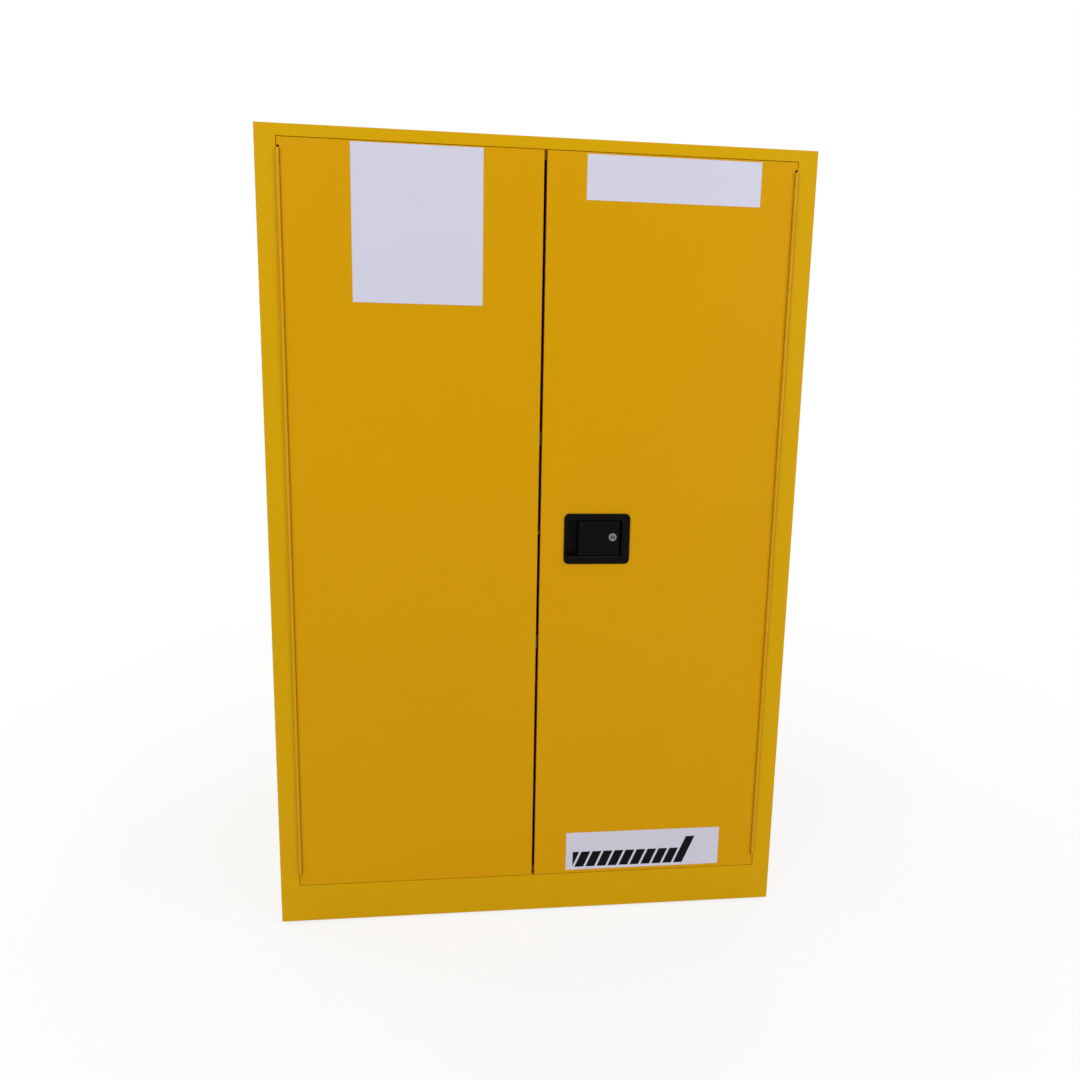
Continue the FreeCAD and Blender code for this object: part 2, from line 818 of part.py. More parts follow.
def right_door_inner():
    """Inner pan of the right door with the latch opening and the rod windows."""
    half_w = COVER_W / 2 - COVER_LAP
    half_h = COVER_H / 2 - COVER_LAP
    access = slab(
        COVER_X - half_w,
        COVER_X + half_w,
        DOOR_DEPTH - SHEET,
        DOOR_DEPTH,
        HANDLE_Z - half_h,
        HANDLE_Z + half_h,
    )
    pan = door_inner().cut(access).cut(bolt_window())
    return pan.cut(rod_window(UPPER_ROD_X, BOX_TOP)).cut(rod_window(LOWER_ROD_X, BOX_BOTTOM))


def left_door_inner():
    """Inner pan of the left door, pierced for the centre bolt."""
    return mirrored(door_inner()).cut(bolt_window())


def door_stiffener():
    """Upright hat section between the two skins of the right door."""
    bottom = BOX_BOTTOM + STIFFENER_INSET
    return hat_channel(
        point(STIFFENER_X, SHEET, bottom),
        Vector(1, 0, 0),
        Vector(0, 1, 0),
        Vector(0, 0, BOX_TOP - STIFFENER_INSET - bottom),
        STIFFENER_W,
        STIFFENER_FOOT,
        DOOR_DEPTH - 2 * SHEET,
    )


def drive_slot():
    """Window for the paddle tail and the drive pin through dish floor and latch plate."""
    sweep = HUB_DRIVE_ARM * math.sin(math.radians(HUB_MAX))
    left = HUB_X - sweep - DRIVE_PIN_R - DRIVE_SLOT_CLEAR
    right = PIVOT_X + TAIL_T / 2 + DRIVE_SLOT_CLEAR
    half = LUG_T / 2 + DRIVE_SLOT_CLEAR
    return slab(left, right, DISH_DEPTH, LATCH_PLATE_BACK, TAIL_Z - half, TAIL_Z + half)


def lug_heights():
    """Lower faces of the two lugs that carry the paddle on its pin."""
    return (
        DISH_BOTTOM + LUG_INSET,
        DISH_TOP - LUG_INSET - LUG_T,
    )


def handle_housing():
    """Dish with its face plate, the ledge for the lock cam and the pin the paddle turns on."""
    plate = round_block(
        HANDLE_X - PLATE_W / 2,
        HANDLE_X + PLATE_W / 2,
        -PLATE_T,
        0,
        HANDLE_Z - PLATE_H / 2,
        HANDLE_Z + PLATE_H / 2,
        PLATE_CORNER_R,
    )
    dish = slab(
        DISH_LEFT - DISH_WALL,
        DISH_RIGHT + DISH_WALL,
        0,
        DISH_BACK,
        DISH_BOTTOM - DISH_WALL,
        DISH_TOP + DISH_WALL,
    )
    pocket = round_block(
        DISH_LEFT,
        DISH_RIGHT,
        -PLATE_T,
        DISH_DEPTH,
        DISH_BOTTOM,
        DISH_TOP,
        DISH_CORNER_R,
    )
    keeper_back = LOCK_END_D + CAM_GAP - KEEPER_GAP
    keeper = slab(
        KEEPER_X - KEEPER_W / 2,
        KEEPER_X + KEEPER_W / 2,
        keeper_back - KEEPER_T,
        keeper_back,
        DISH_TOP - KEEPER_DROP,
        DISH_TOP + DISH_WALL / 2,
    )
    pin = rod_z(PIVOT_X, PIVOT_D, DISH_BOTTOM, DISH_TOP, PIVOT_PIN_R)
    shell = bevel_at_depth(join([plate, dish]).cut(pocket), -PLATE_T, PLATE_BEVEL)
    return join([shell, keeper, pin]).cut(drive_slot())


def latch_plate():
    """Steel plate behind the dish with the post that the hub turns on."""
    plate = slab(
        LATCH_PLATE_LEFT,
        LATCH_PLATE_LEFT + LATCH_PLATE_W,
        DISH_BACK,
        LATCH_PLATE_BACK,
        HUB_Z - LATCH_PLATE_H / 2,
        HUB_Z + LATCH_PLATE_H / 2,
    )
    post = rod_y(HUB_X, LATCH_PLATE_BACK, HUB_BACK + HUB_POST_OVER, HUB_Z, HUB_PIVOT_R)
    return join([plate, post]).cut(drive_slot())


def latch_cover():
    """Cover plate over the latch opening in the inner pan."""
    return slab(
        COVER_X - COVER_W / 2,
        COVER_X + COVER_W / 2,
        DOOR_DEPTH,
        DOOR_DEPTH + SHEET,
        HANDLE_Z - COVER_H / 2,
        HANDLE_Z + COVER_H / 2,
    )


def hub_arm(low, high, upright):
    """A flat arm across the hub with bevelled corners."""
    half = HUB_HALF_W
    step = half - HUB_BEVEL
    outline = [
        (low, -step),
        (low, step),
        (low + HUB_BEVEL, half),
        (high - HUB_BEVEL, half),
        (high, step),
        (high, -step),
        (high - HUB_BEVEL, -half),
        (low + HUB_BEVEL, -half),
    ]
    if upright:
        corners = [point(HUB_X + v, HUB_FRONT, HUB_Z + u) for u, v in outline]
    else:
        corners = [point(HUB_X + u, HUB_FRONT, HUB_Z + v) for u, v in outline]
    return extruded(corners, Vector(0, HUB_T, 0))


def latch_hub():
    """Four-armed hub with three link pins behind it and the drive pin in front."""
    reach = HUB_ARM + HUB_HALF_W
    pieces = [hub_arm(-reach, reach, False), hub_arm(-HUB_DRIVE_ARM - HUB_HALF_W, reach, True)]
    for dx in (-HUB_ARM, HUB_ARM):
        pieces.append(rod_y(HUB_X + dx, HUB_BACK, LINK_BACK, HUB_Z, DRIVE_PIN_R))
    pieces.append(rod_y(HUB_X, HUB_BACK, FAR_LINK_BACK, HUB_Z + HUB_ARM, DRIVE_PIN_R))
    pieces.append(rod_y(HUB_X, HUB_FRONT - DRIVE_PIN_REACH, HUB_FRONT, TAIL_Z, DRIVE_PIN_R))
    return join(pieces).cut(rod_y(HUB_X, HUB_FRONT, HUB_BACK, HUB_Z, HUB_BORE_R))


def link_slot(x, z, dx0, dx1, dz0, dz1, d0, d1):
    """The window in a link for one pin of the hub."""
    reach = DRIVE_PIN_R
    return slab(x - reach - dx0, x + reach + dx1, d0, d1, z - reach - dz0, z + reach + dz1)


def latch_rod(x, tip, way, drift_side):
    """A rod to the head or the sill: slotted plate at the hub, flat neck and round bar."""
    neck_end = HUB_Z + way * ROD_NECK
    near = HUB_Z - way * HUB_HALF_W
    half = HUB_HALF_W - LINK_STEP
    neck = slab(x - half, x + half, LINK_FRONT, LINK_BACK, min(near, neck_end), max(near, neck_end))
    wide = slab(
        x - HUB_HALF_W - PIN_DRIFT, x + HUB_HALF_W + PIN_DRIFT, LINK_FRONT, LINK_BACK,
        HUB_Z - HUB_HALF_W, HUB_Z + HUB_HALF_W,
    )
    start = neck_end - way * ROD_NECK_OVERLAP
    bar = rod_z(x, ROD_D, min(start, tip), max(start, tip), ROD_R)
    outward = PIN_DRIFT + SLOT_END_CLEAR if drift_side > 0 else SLOT_END_CLEAR
    inward = PIN_DRIFT + SLOT_END_CLEAR if drift_side < 0 else SLOT_END_CLEAR
    slot = link_slot(x, HUB_Z, inward, outward, SLOT_CLEAR, SLOT_CLEAR, LINK_FRONT, LINK_BACK)
    return join([neck, wide, bar]).cut(slot)


def upper_rod():
    """Rod from the right arm of the hub to the head."""
    return latch_rod(UPPER_ROD_X, DOORWAY_TOP + ROD_ENGAGE, 1, -1)


def lower_rod():
    """Rod from the left arm of the hub to the sill."""
    return latch_rod(LOWER_ROD_X, DOORWAY_BOTTOM - ROD_ENGAGE, -1, 1)


def centre_bolt():
    """Bolt from the top arm of the hub to the edge of the other door."""
    top = HUB_Z + HUB_ARM
    half = HUB_HALF_W + LINK_STEP
    low = BOLT_Z - BOLT_BAR_HALF
    plate = slab(
        HUB_X - half, HUB_X + half, FAR_LINK_FRONT, FAR_LINK_BACK, low, top + HUB_HALF_W
    )
    bar = slab(
        BOLT_NECK_X, HUB_X, FAR_LINK_FRONT, FAR_LINK_BACK, low, BOLT_Z + BOLT_BAR_HALF
    )
    rod = rod_x(-MEET_X - BOLT_ENGAGE, BOLT_NECK_X + ROD_NECK_OVERLAP, ROD_D, BOLT_Z, ROD_R)
    slot = link_slot(
        HUB_X, top, SLOT_CLEAR, SLOT_CLEAR, PIN_DRIFT + SLOT_END_CLEAR, SLOT_END_CLEAR,
        FAR_LINK_FRONT, FAR_LINK_BACK,
    )
    return join([plate, bar, rod]).cut(slot)


def rod_guide(x, z):
    """Angle bracket on the door skin with a hole for an upright rod."""
    half = GUIDE_W / 2
    foot = slab(x - half, x + half, SHEET, SHEET + GUIDE_T, z - GUIDE_FOOT, z)
    arm = slab(x - half, x + half, SHEET, GUIDE_BACK, z, z + GUIDE_T)
    return join([foot, arm]).cut(rod_z(x, ROD_D, z, z + GUIDE_T, ROD_R + GUIDE_CLEAR))


def bolt_guide():
    """Angle bracket with a hole for the centre bolt."""
    half = GUIDE_W / 2
    x = BOLT_GUIDE_X
    foot = slab(x - GUIDE_T, x, SHEET, GUIDE_BACK, BOLT_Z - half, BOLT_Z + half)
    arm = slab(x - GUIDE_T - GUIDE_FOOT / 2, x, SHEET, SHEET + GUIDE_T, BOLT_Z - half, BOLT_Z + half)
    return join([foot, arm]).cut(rod_x(x - GUIDE_T, x, ROD_D, BOLT_Z, ROD_R + GUIDE_CLEAR))


def rod_guides():
    """One guide half way along each rod and one at the centre bolt."""
    return [
        rod_guide(UPPER_ROD_X, HUB_Z + GUIDE_RISE),
        rod_guide(LOWER_ROD_X, HUB_Z - GUIDE_RISE),
        bolt_guide(),
    ]


def paddle():
    """Pull paddle: plate with a curled finger edge, two eyes and the tail that drives the hub."""
    front = PADDLE_SINK
    back = PADDLE_SINK + PADDLE_T
    low = DISH_BOTTOM + PADDLE_GAP
    high = DISH_TOP - PADDLE_GAP
    plate = slab(PADDLE_LEFT, PIVOT_X + PADDLE_BUTT, front, back, low, high)
    lip = slab(PADDLE_LEFT, PADDLE_LEFT + PADDLE_T, front, back + PADDLE_LIP, low, high)
    body = join([plate, lip])
    picked = []
    for edge in body.Edges:
        left = all(abs(v.X - PADDLE_LEFT) < ON_LEVEL for v in edge.Vertexes)
        ahead = all(abs(v.Y - FRONT_Y - front) < ON_LEVEL for v in edge.Vertexes)
        if left and ahead:
            picked.append(edge)
    body = body.makeFillet(PADDLE_ROUND, picked)
    pieces = [body]
    corner = EYE_R * math.tan(math.pi / 8)
    outline = [
        (-EYE_R, back - PIVOT_D),
        (PADDLE_BUTT, back - PIVOT_D),
        (EYE_R, -corner),
        (EYE_R, corner),
        (corner, EYE_R),
        (-corner, EYE_R),
        (-EYE_R, corner),
    ]
    for z in lug_heights():
        corners = [point(PIVOT_X + u, PIVOT_D + v, z) for u, v in outline]
        pieces.append(extruded(corners, Vector(0, 0, LUG_T)))
    tail_low = lug_heights()[0]
    half = TAIL_T / 2
    pieces.append(
        slab(
            PIVOT_X - half, PIVOT_X + half, PIVOT_D, PIVOT_D + TAIL_LEN, tail_low, tail_low + LUG_T
        )
    )
    body = join(pieces)
    body = body.cut(rod_z(PIVOT_X, PIVOT_D, DISH_BOTTOM, DISH_TOP, PIVOT_PIN_R + PIN_CLEAR))
    return body.cut(rod_y(LOCK_X, front, back, LOCK_Z, LOCK_R + LOCK_CLEAR))


def paddle_spring():
    """Return spring: the sleeve of its coil and the two straight legs."""
    inner = PIVOT_PIN_R + SPRING_CLEAR
    outer = inner + SPRING_T
    low = lug_heights()[0] + LUG_T + SPRING_T
    high = low + SPRING_LEN
    sleeve = rod_z(PIVOT_X, PIVOT_D, low, high, outer)
    front = PIVOT_D - outer
    right = PIVOT_X + outer
    front_leg = slab(PIVOT_X - SPRING_LEG, PIVOT_X, front, front + SPRING_T, low, low + SPRING_T)
    back_leg = slab(right - SPRING_T, right, PIVOT_D, DISH_DEPTH, high - SPRING_T, high)
    coil = join([sleeve, front_leg, back_leg])
    return coil.cut(rod_z(PIVOT_X, PIVOT_D, low, high, inner))


def lock_body():
    """Chrome lock barrel through the paddle."""
    front = PADDLE_SINK - LOCK_PROUD
    barrel = rod_y(LOCK_X, front, LOCK_END_D, LOCK_Z, LOCK_R)
    return barrel.cut(rod_y(LOCK_X, front, LOCK_END_D, LOCK_Z, PLUG_R + PIN_CLEAR))


def lock_plug():
    """Turning plug with its key slot."""
    front = PADDLE_SINK - LOCK_PROUD / 2
    plug = rod_y(LOCK_X, front, LOCK_END_D + CAM_GAP, LOCK_Z, PLUG_R)
    key = slab(
        LOCK_X - KEY_SLOT_W / 2,
        LOCK_X + KEY_SLOT_W / 2,
        front,
        front + KEY_SLOT_DEPTH,
        LOCK_Z - KEY_SLOT_H / 2,
        LOCK_Z + KEY_SLOT_H / 2,
    )
    return plug.cut(key)


def lock_cam():
    """Flat cam on the end of the plug, pointing to the finger side when unlocked."""
    front = LOCK_END_D + CAM_GAP
    half = CAM_W / 2
    return slab(LOCK_X - CAM_LEN, LOCK_X + half, front, front + CAM_T, LOCK_Z - half, LOCK_Z + half)


def vent_sleeve(z):
    """Right-hand sleeve through the double wall, with a narrow rim outside."""
    end = HALF_W + VENT_RIM
    tube = rod_x(LINER_X, end, VENT_DEPTH, z, VENT_SLEEVE_R)
    return tube.cut(rod_x(LINER_X, end, VENT_DEPTH, z, VENT_BORE_R))


def flame_arrester(z):
    """Gauze disc at the inner end of a right-hand sleeve."""
    return rod_x(LINER_X, LINER_X + ARRESTER_T, VENT_DEPTH, z, VENT_BORE_R - ARRESTER_CLEAR)


def vent_plug(z):
    """Screw plug of a right-hand vent with its hexagonal drive."""
    face = HALF_W + VENT_RIM + PLUG_PROUD
    plug = rod_x(face - VENT_PLUG_LEN, face, VENT_DEPTH, z, VENT_BORE_R - VENT_PLUG_CLEAR)
    drive = hexagon(point(face, VENT_DEPTH, z), Vector(1, 0, 0), PLUG_DRIVE_AF, PLUG_DRIVE_T)
    return join([plug, drive])


def earth_stud():
    """Weld stud with a hexagonal collar on the right side panel, for an earth wire."""
    d = DEPTH - STUD_BACK
    stud = rod_x(HALF_W, HALF_W + SIDE_PROUD, d, STUD_Z, STUD_R)
    collar = hexagon(point(HALF_W, d, STUD_Z), Vector(1, 0, 0), STUD_COLLAR_AF, STUD_COLLAR_T)
    return join([stud, collar])


def foot_places():
    """Centres of the four levelling feet, front left first."""
    return [(x, d) for d in FOOT_DEPTHS for x in (-FOOT_X, FOOT_X)]


def levelling_foot(x, d):
    """Levelling screw with a wide hexagonal foot."""
    grip = hexagon(point(x, d, 0), Vector(0, 0, 1), FOOT_HEX_AF, FOOT_HEX_T)
    stud = rod_z(x, d, FOOT_HEX_T, SUMP_UNDER - FOOT_STUD_TOP_GAP, FOOT_STUD_R)
    return join([grip, stud])


def foot_nut_blank(x, d):
    """Outline of a hexagonal insert nut in the base panel."""
    return hexagon(point(x, d, BASE_UNDER), Vector(0, 0, 1), FOOT_NUT_AF, FOOT_NUT_T)


def foot_nuts():
    """Insert nuts that carry the levelling feet."""
    nuts = []
    for x, d in foot_places():
        bore = rod_z(x, d, BASE_UNDER, BASE_UNDER + FOOT_NUT_T, FOOT_THREAD_R)
        nuts.append(foot_nut_blank(x, d).cut(bore))
    return nuts


def all_nodes():
    """Every separate piece by name. A list is a group of like pieces."""
    nodes = {
        "front_frame": front_frame(),
        "left_side_panel": left_side_panel(),
        "right_side_panel": right_side_panel(),
        "top_panel": top_panel(),
        "back_panel": back_panel(),
        "base_panel": base_panel(),
        "left_liner": left_liner(),
        "right_liner": right_liner(),
        "back_liner": back_liner(),
        "top_liner": top_liner(),
        "sump_pan": sump_pan(),
        "base_channels": base_channels(),
        "wall_channels": wall_channels(),
        "shelf_standards": shelf_standards(),
        "shelf_brackets": shelf_brackets(),
        "lower_shelf": shelf(LOWER_SHELF_SLOTS),
        "upper_shelf": shelf(UPPER_SHELF_SLOTS),
        "right_frame_leaf": frame_leaf(),
        "left_frame_leaf": mirrored(frame_leaf()),
        "right_door_leaf": door_leaf(),
        "left_door_leaf": mirrored(door_leaf()),
        "right_door_skin": right_door_skin(),
        "left_door_skin": left_door_skin(),
        "right_door_inner": right_door_inner(),
        "left_door_inner": left_door_inner(),
        "right_door_stiffener": door_stiffener(),
        "left_door_stiffener": mirrored(door_stiffener()),
        "handle_housing": handle_housing(),
        "latch_plate": latch_plate(),
        "latch_cover": latch_cover(),
        "latch_hub": latch_hub(),
        "upper_rod": upper_rod(),
        "lower_rod": lower_rod(),
        "centre_bolt": centre_bolt(),
        "rod_guides": rod_guides(),
        "paddle": paddle(),
        "paddle_spring": paddle_spring(),
        "lock_body": lock_body(),
        "lock_plug": lock_plug(),
        "lock_cam": lock_cam(),
        "vent_sleeves": [vent_sleeve(VENT_HIGH_Z), mirrored(vent_sleeve(VENT_LOW_Z))],
        "flame_arresters": [flame_arrester(VENT_HIGH_Z), mirrored(flame_arrester(VENT_LOW_Z))],
        "right_vent_plug": vent_plug(VENT_HIGH_Z),
        "left_vent_plug": mirrored(vent_plug(VENT_LOW_Z)),
        "earth_stud": earth_stud(),
        "foot_nuts": foot_nuts(),
    }
    names = ("front_left_foot", "front_right_foot", "back_left_foot", "back_right_foot")
    for name, (x, d) in zip(names, foot_places()):
        nodes[name] = levelling_foot(x, d)
    return nodes


os.makedirs("parts", exist_ok=True)
for name, shape in all_nodes().items():
    if isinstance(shape, list):
        shape = Part.makeCompound(shape)
    shape.exportStep("parts/" + name + ".step")
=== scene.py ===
import bmesh
import bpy
import json
import math
from mathutils import Matrix, Vector


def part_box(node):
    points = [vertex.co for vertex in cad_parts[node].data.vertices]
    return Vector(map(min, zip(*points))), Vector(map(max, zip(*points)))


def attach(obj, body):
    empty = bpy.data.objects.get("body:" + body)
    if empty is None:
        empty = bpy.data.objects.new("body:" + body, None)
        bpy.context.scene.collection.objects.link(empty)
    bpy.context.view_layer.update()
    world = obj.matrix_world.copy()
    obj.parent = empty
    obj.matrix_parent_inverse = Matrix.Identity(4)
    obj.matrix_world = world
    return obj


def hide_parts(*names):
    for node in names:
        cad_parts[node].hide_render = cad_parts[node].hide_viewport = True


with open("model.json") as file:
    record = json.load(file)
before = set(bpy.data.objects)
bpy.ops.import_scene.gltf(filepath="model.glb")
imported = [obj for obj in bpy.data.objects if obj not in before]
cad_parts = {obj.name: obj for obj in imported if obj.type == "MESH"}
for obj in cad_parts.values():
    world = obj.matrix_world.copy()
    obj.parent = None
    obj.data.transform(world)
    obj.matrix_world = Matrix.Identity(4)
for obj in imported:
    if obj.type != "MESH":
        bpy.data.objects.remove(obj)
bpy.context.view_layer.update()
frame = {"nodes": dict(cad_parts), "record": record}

# Looks of the two-door safety cabinet, in metres and degrees, in the same frame as the solids.

# Camera of the photograph, solved from the four corners of the cabinet's front
CAMERA_PLACE = (-0.1596, -2.3960, 1.3240)
CAMERA_HEADING = -7.695
CAMERA_TILT = 78.789
CAMERA_ROLL = 1.657
CAMERA_LENS = 32.42
CAMERA_SENSOR = 36.0
CAMERA_SHIFT = (-0.0469, -0.0306)

# Square lamps: place, point they face, side, power in watts
LAMPS = {
    "key_light": ((-2.6, -3.6, 3.2), (0, -0.4, 0.8), 1.8, 82),
    "fill_light": ((3.0, -3.4, 1.5), (0, -0.4, 0.6), 2.6, 52),
    "rear_right_light": ((2.4, 3.4, 2.8), (0, 0.2, 0.9), 2.0, 70),
    "rear_left_light": ((-3.6, 2.2, 2.2), (0, 0.0, 0.8), 2.0, 75),
    "overhead_light": ((0.58, -1.04, 3.5), (0.165, -0.43, 0.83), 0.8, 16),
}
SURROUND_STRENGTH = 0.36
WHITE = (1.0, 1.0, 1.0, 1.0)

# Floor: half its side, its tone, and how much of it glows near the cabinet and away from it
FLOOR_REACH = 30.0
FLOOR_TONE = (0.90, 0.90, 0.90, 1.0)
GLOW_NEAR = 0.80
GLOW_AWAY = 1.0
GLOW_FROM = 0.7
GLOW_TO = 2.4

# Tones of the finishes: the two that each one drifts between; the bolts' zinc, the lock's metals
# and the gauze also hold painted shade or a painted dim reflection, as marked
DOOR_PAINT = ((0.586, 0.293, 0.0), (0.611, 0.309, 0.0))
SHELL_PAINT = ((0.586, 0.324, 0.0), (0.611, 0.342, 0.0))
RUBBED_PAINT = (0.44, 0.22, 0.004)
MOULDED_BLACK = ((0.0015, 0.0012, 0.001), (0.005, 0.004, 0.0035))
BRIGHT_ZINC = ((0.56, 0.57, 0.58), (0.70, 0.71, 0.72))
# Yellow passivated zinc of the bolts and rods, made darker than the plating is: painted shade of
# the door gap where the centre bolt shows
PASSIVATED_ZINC_WITH_PAINTED_SHADE = ((0.36, 0.25, 0.07), (0.46, 0.33, 0.11))
SPANGLED_ZINC = ((0.50, 0.52, 0.53), (0.66, 0.68, 0.69))
# The lock's barrel and plug are plated metal, with tones far darker than bright plating: a painted
# dim reflection of surroundings darker than the white studio, the plug darker still
LOCK_CHROME_WITH_PAINTED_DIM_REFLECTION = ((0.18, 0.18, 0.18), (0.27, 0.27, 0.26))
PLUG_NICKEL_WITH_PAINTED_DIM_REFLECTION = ((0.10, 0.10, 0.10), (0.16, 0.16, 0.15))
SPRING_STEEL = ((0.20, 0.20, 0.21), (0.34, 0.34, 0.35))
BRASS = ((0.55, 0.40, 0.14), (0.68, 0.52, 0.22))
# Gauze: the light tone is the wire, the dark tone is painted shade in the openings between the
# wires
GAUZE_WIRE_AND_PAINTED_GAP_SHADE = ((0.03, 0.03, 0.03), (0.50, 0.51, 0.52))
STICKER_WHITE = (0.58, 0.58, 0.70)
PRINT_BLACK = (0.003, 0.003, 0.005)
FILM_DRIFT = 0.96

# Stickers on the doors: left edge, right edge, lower edge, upper edge
STICKER_T = 0.0002
PRINT_T = 0.00006
LARGE_STICKER = (-0.370, -0.120, 1.334, 1.630)
LONG_STICKER = (0.081, 0.431, 1.543, 1.629)
LOW_STICKER = (0.073, 0.422, 0.0995, 0.1895)

# Leaning bands of the low sticker
PRINT_LEFT = 0.0885
BAND_COUNT = 9
BAND_FIRST = 0.0928
BAND_PITCH = 0.0251
BAND_W = 0.0200
BAND_LOW = 0.1060
BAND_HIGH = 0.1425
BAND_LEAN = 0.0155
LONG_BAND_TOP = 0.1700

# Continuous hinges
LEAF_T = 0.0012
LEAF_STANDOFF = 0.0003
KNUCKLE_PITCH = 0.0254
KNUCKLE_SPLIT = 0.0006
KNUCKLE_STEPS = 20
PIN_CLEAR = 0.0002
PIN_SIDES = 16

# Rivets of the hinge leaves
RIVET_R = 0.0035
RIVET_H = 0.0009
RIVETS = 12
RIVET_INSET = 0.0055

# Rivets of the back and side panels
PANEL_RIVET_R = 0.005
PANEL_RIVET_H = 0.0018
PANEL_RIVET_PITCH = 0.125
PANEL_RIVET_INSET = 0.016

# Round heads: rings up the flank, sides, and how far up its quarter circle a flank goes
HEAD_RINGS = 4
HEAD_SIDES = 24
RIVET_FLANK = 70.0
SCREW_FLANK = 45.0

# Screws: the cross is a share of the head's radius and of its height
CROSS_REACH = 0.42
CROSS_HALF = 0.11
CROSS_DEPTH = 0.6
SCREW_R = 0.004
SCREW_H = 0.002
COVER_SCREW_INSET = 0.0075
PLATE_T = 0.002
PLATE_SCREW_X = (0.010, 0.052)
PLATE_SCREW_INSET = 0.008
CAM_SCREW_R = 0.0045
CAM_SCREW_H = 0.0012

# Lock barrel
BARREL_CLEAR = 0.00005
BARREL_RIM_R = 0.0012
BARREL_SIDES = 48
BORE_BEVEL = 0.0003
RIM_STEPS = 6

# Torsion spring of the paddle
SPRING_R = 0.0038
SPRING_WIRE_R = 0.0005
SPRING_WIRE_SIDES = 8
SPRING_TURNS = 9
SPRING_STEPS = 16

# Edges that turn by more than this stay sharp
SHARP_TURN = 35.0

FACE_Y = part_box("right_door_skin")[0].y


def add_node(tree, kind, **settings):
    """A shader node with its attributes set."""
    made = tree.nodes.new(kind)
    for name, value in settings.items():
        setattr(made, name, value)
    return made


def new_group(name, inputs, outputs):
    """An empty shader group with float or colour sockets, and its end nodes."""
    group = bpy.data.node_groups.new(name, "ShaderNodeTree")
    for label, kind, value in inputs:
        socket = group.interface.new_socket(name=label, in_out="INPUT", socket_type=kind)
        socket.default_value = value
    for label, kind in outputs:
        group.interface.new_socket(name=label, in_out="OUTPUT", socket_type=kind)
    return group, add_node(group, "NodeGroupInput"), add_node(group, "NodeGroupOutput")


def orange_peel_group():
    """Low ripples of sprayed powder coat, and a slow drift of its tone."""
    group, take, give = new_group(
        "orange_peel",
        [("Ripple Scale", "NodeSocketFloat", 900.0), ("Drift Scale", "NodeSocketFloat", 2.5)],
        [("Height", "NodeSocketFloat"), ("Drift", "NodeSocketFloat")],
    )
    where = add_node(group, "ShaderNodeTexCoord")
    ripple = add_node(group, "ShaderNodeTexNoise")
    ripple.inputs["Detail"].default_value = 2.0
    drift = add_node(group, "ShaderNodeTexNoise")
    drift.inputs["Detail"].default_value = 3.0
    link = group.links.new
    link(where.outputs["Object"], ripple.inputs["Vector"])
    link(where.outputs["Object"], drift.inputs["Vector"])
    link(take.outputs["Ripple Scale"], ripple.inputs["Scale"])
    link(take.outputs["Drift Scale"], drift.inputs["Scale"])
    link(ripple.outputs["Fac"], give.inputs["Height"])
    link(drift.outputs["Fac"], give.inputs["Drift"])
    return group


def scuff_group():
    """Rubbed patches that grow denser below a given level, as a mask."""
    group, take, give = new_group(
        "scuffs",
        [
            ("Scale", "NodeSocketFloat", 14.0),
            ("Level", "NodeSocketFloat", 0.12),
            ("Base Amount", "NodeSocketFloat", 0.0),
        ],
        [("Mask", "NodeSocketFloat")],
    )
    where = add_node(group, "ShaderNodeTexCoord")
    parts = add_node(group, "ShaderNodeSeparateXYZ")
    fall = add_node(group, "ShaderNodeMath", operation="DIVIDE")
    near = add_node(group, "ShaderNodeMath", operation="SUBTRACT", use_clamp=True)
    near.inputs[0].default_value = 1.0
    blot = add_node(group, "ShaderNodeTexNoise")
    blot.inputs["Detail"].default_value = 8.0
    blot.inputs["Roughness"].default_value = 0.7
    keep = add_node(group, "ShaderNodeMapRange")
    keep.inputs["From Min"].default_value = 0.56
    keep.inputs["From Max"].default_value = 0.72
    both = add_node(group, "ShaderNodeMath", operation="ADD", use_clamp=True)
    mask = add_node(group, "ShaderNodeMath", operation="MULTIPLY")
    link = group.links.new
    link(where.outputs["Object"], parts.inputs["Vector"])
    link(parts.outputs["Z"], fall.inputs[0])
    link(take.outputs["Level"], fall.inputs[1])
    link(fall.outputs[0], near.inputs[1])
    link(near.outputs[0], both.inputs[0])
    link(take.outputs["Base Amount"], both.inputs[1])
    link(where.outputs["Object"], blot.inputs["Vector"])
    link(take.outputs["Scale"], blot.inputs["Scale"])
    link(blot.outputs["Fac"], keep.inputs["Value"])
    link(keep.outputs["Result"], mask.inputs[0])
    link(both.outputs[0], mask.inputs[1])
    link(mask.outputs[0], give.inputs["Mask"])
    return group


def drawn_lines_group():
    """Fine lines of rolled or drawn metal along the part's height."""
    group, take, give = new_group(
        "drawn_lines",
        [("Fineness", "NodeSocketFloat", 600.0), ("Stretch", "NodeSocketFloat", 0.03)],
        [("Height", "NodeSocketFloat"), ("Mask", "NodeSocketFloat")],
    )
    where = add_node(group, "ShaderNodeTexCoord")
    parts = add_node(group, "ShaderNodeSeparateXYZ")
    shrink = add_node(group, "ShaderNodeMath", operation="MULTIPLY")
    rejoin = add_node(group, "ShaderNodeCombineXYZ")
    lines = add_node(group, "ShaderNodeTexNoise")
    lines.inputs["Detail"].default_value = 4.0
    link = group.links.new
    link(where.outputs["Object"], parts.inputs["Vector"])
    link(parts.outputs["X"], rejoin.inputs["X"])
    link(parts.outputs["Y"], rejoin.inputs["Y"])
    link(parts.outputs["Z"], shrink.inputs[0])
    link(take.outputs["Stretch"], shrink.inputs[1])
    link(shrink.outputs[0], rejoin.inputs["Z"])
    link(rejoin.outputs["Vector"], lines.inputs["Vector"])
    link(take.outputs["Fineness"], lines.inputs["Scale"])
    link(lines.outputs["Fac"], give.inputs["Height"])
    link(lines.outputs["Fac"], give.inputs["Mask"])
    return group


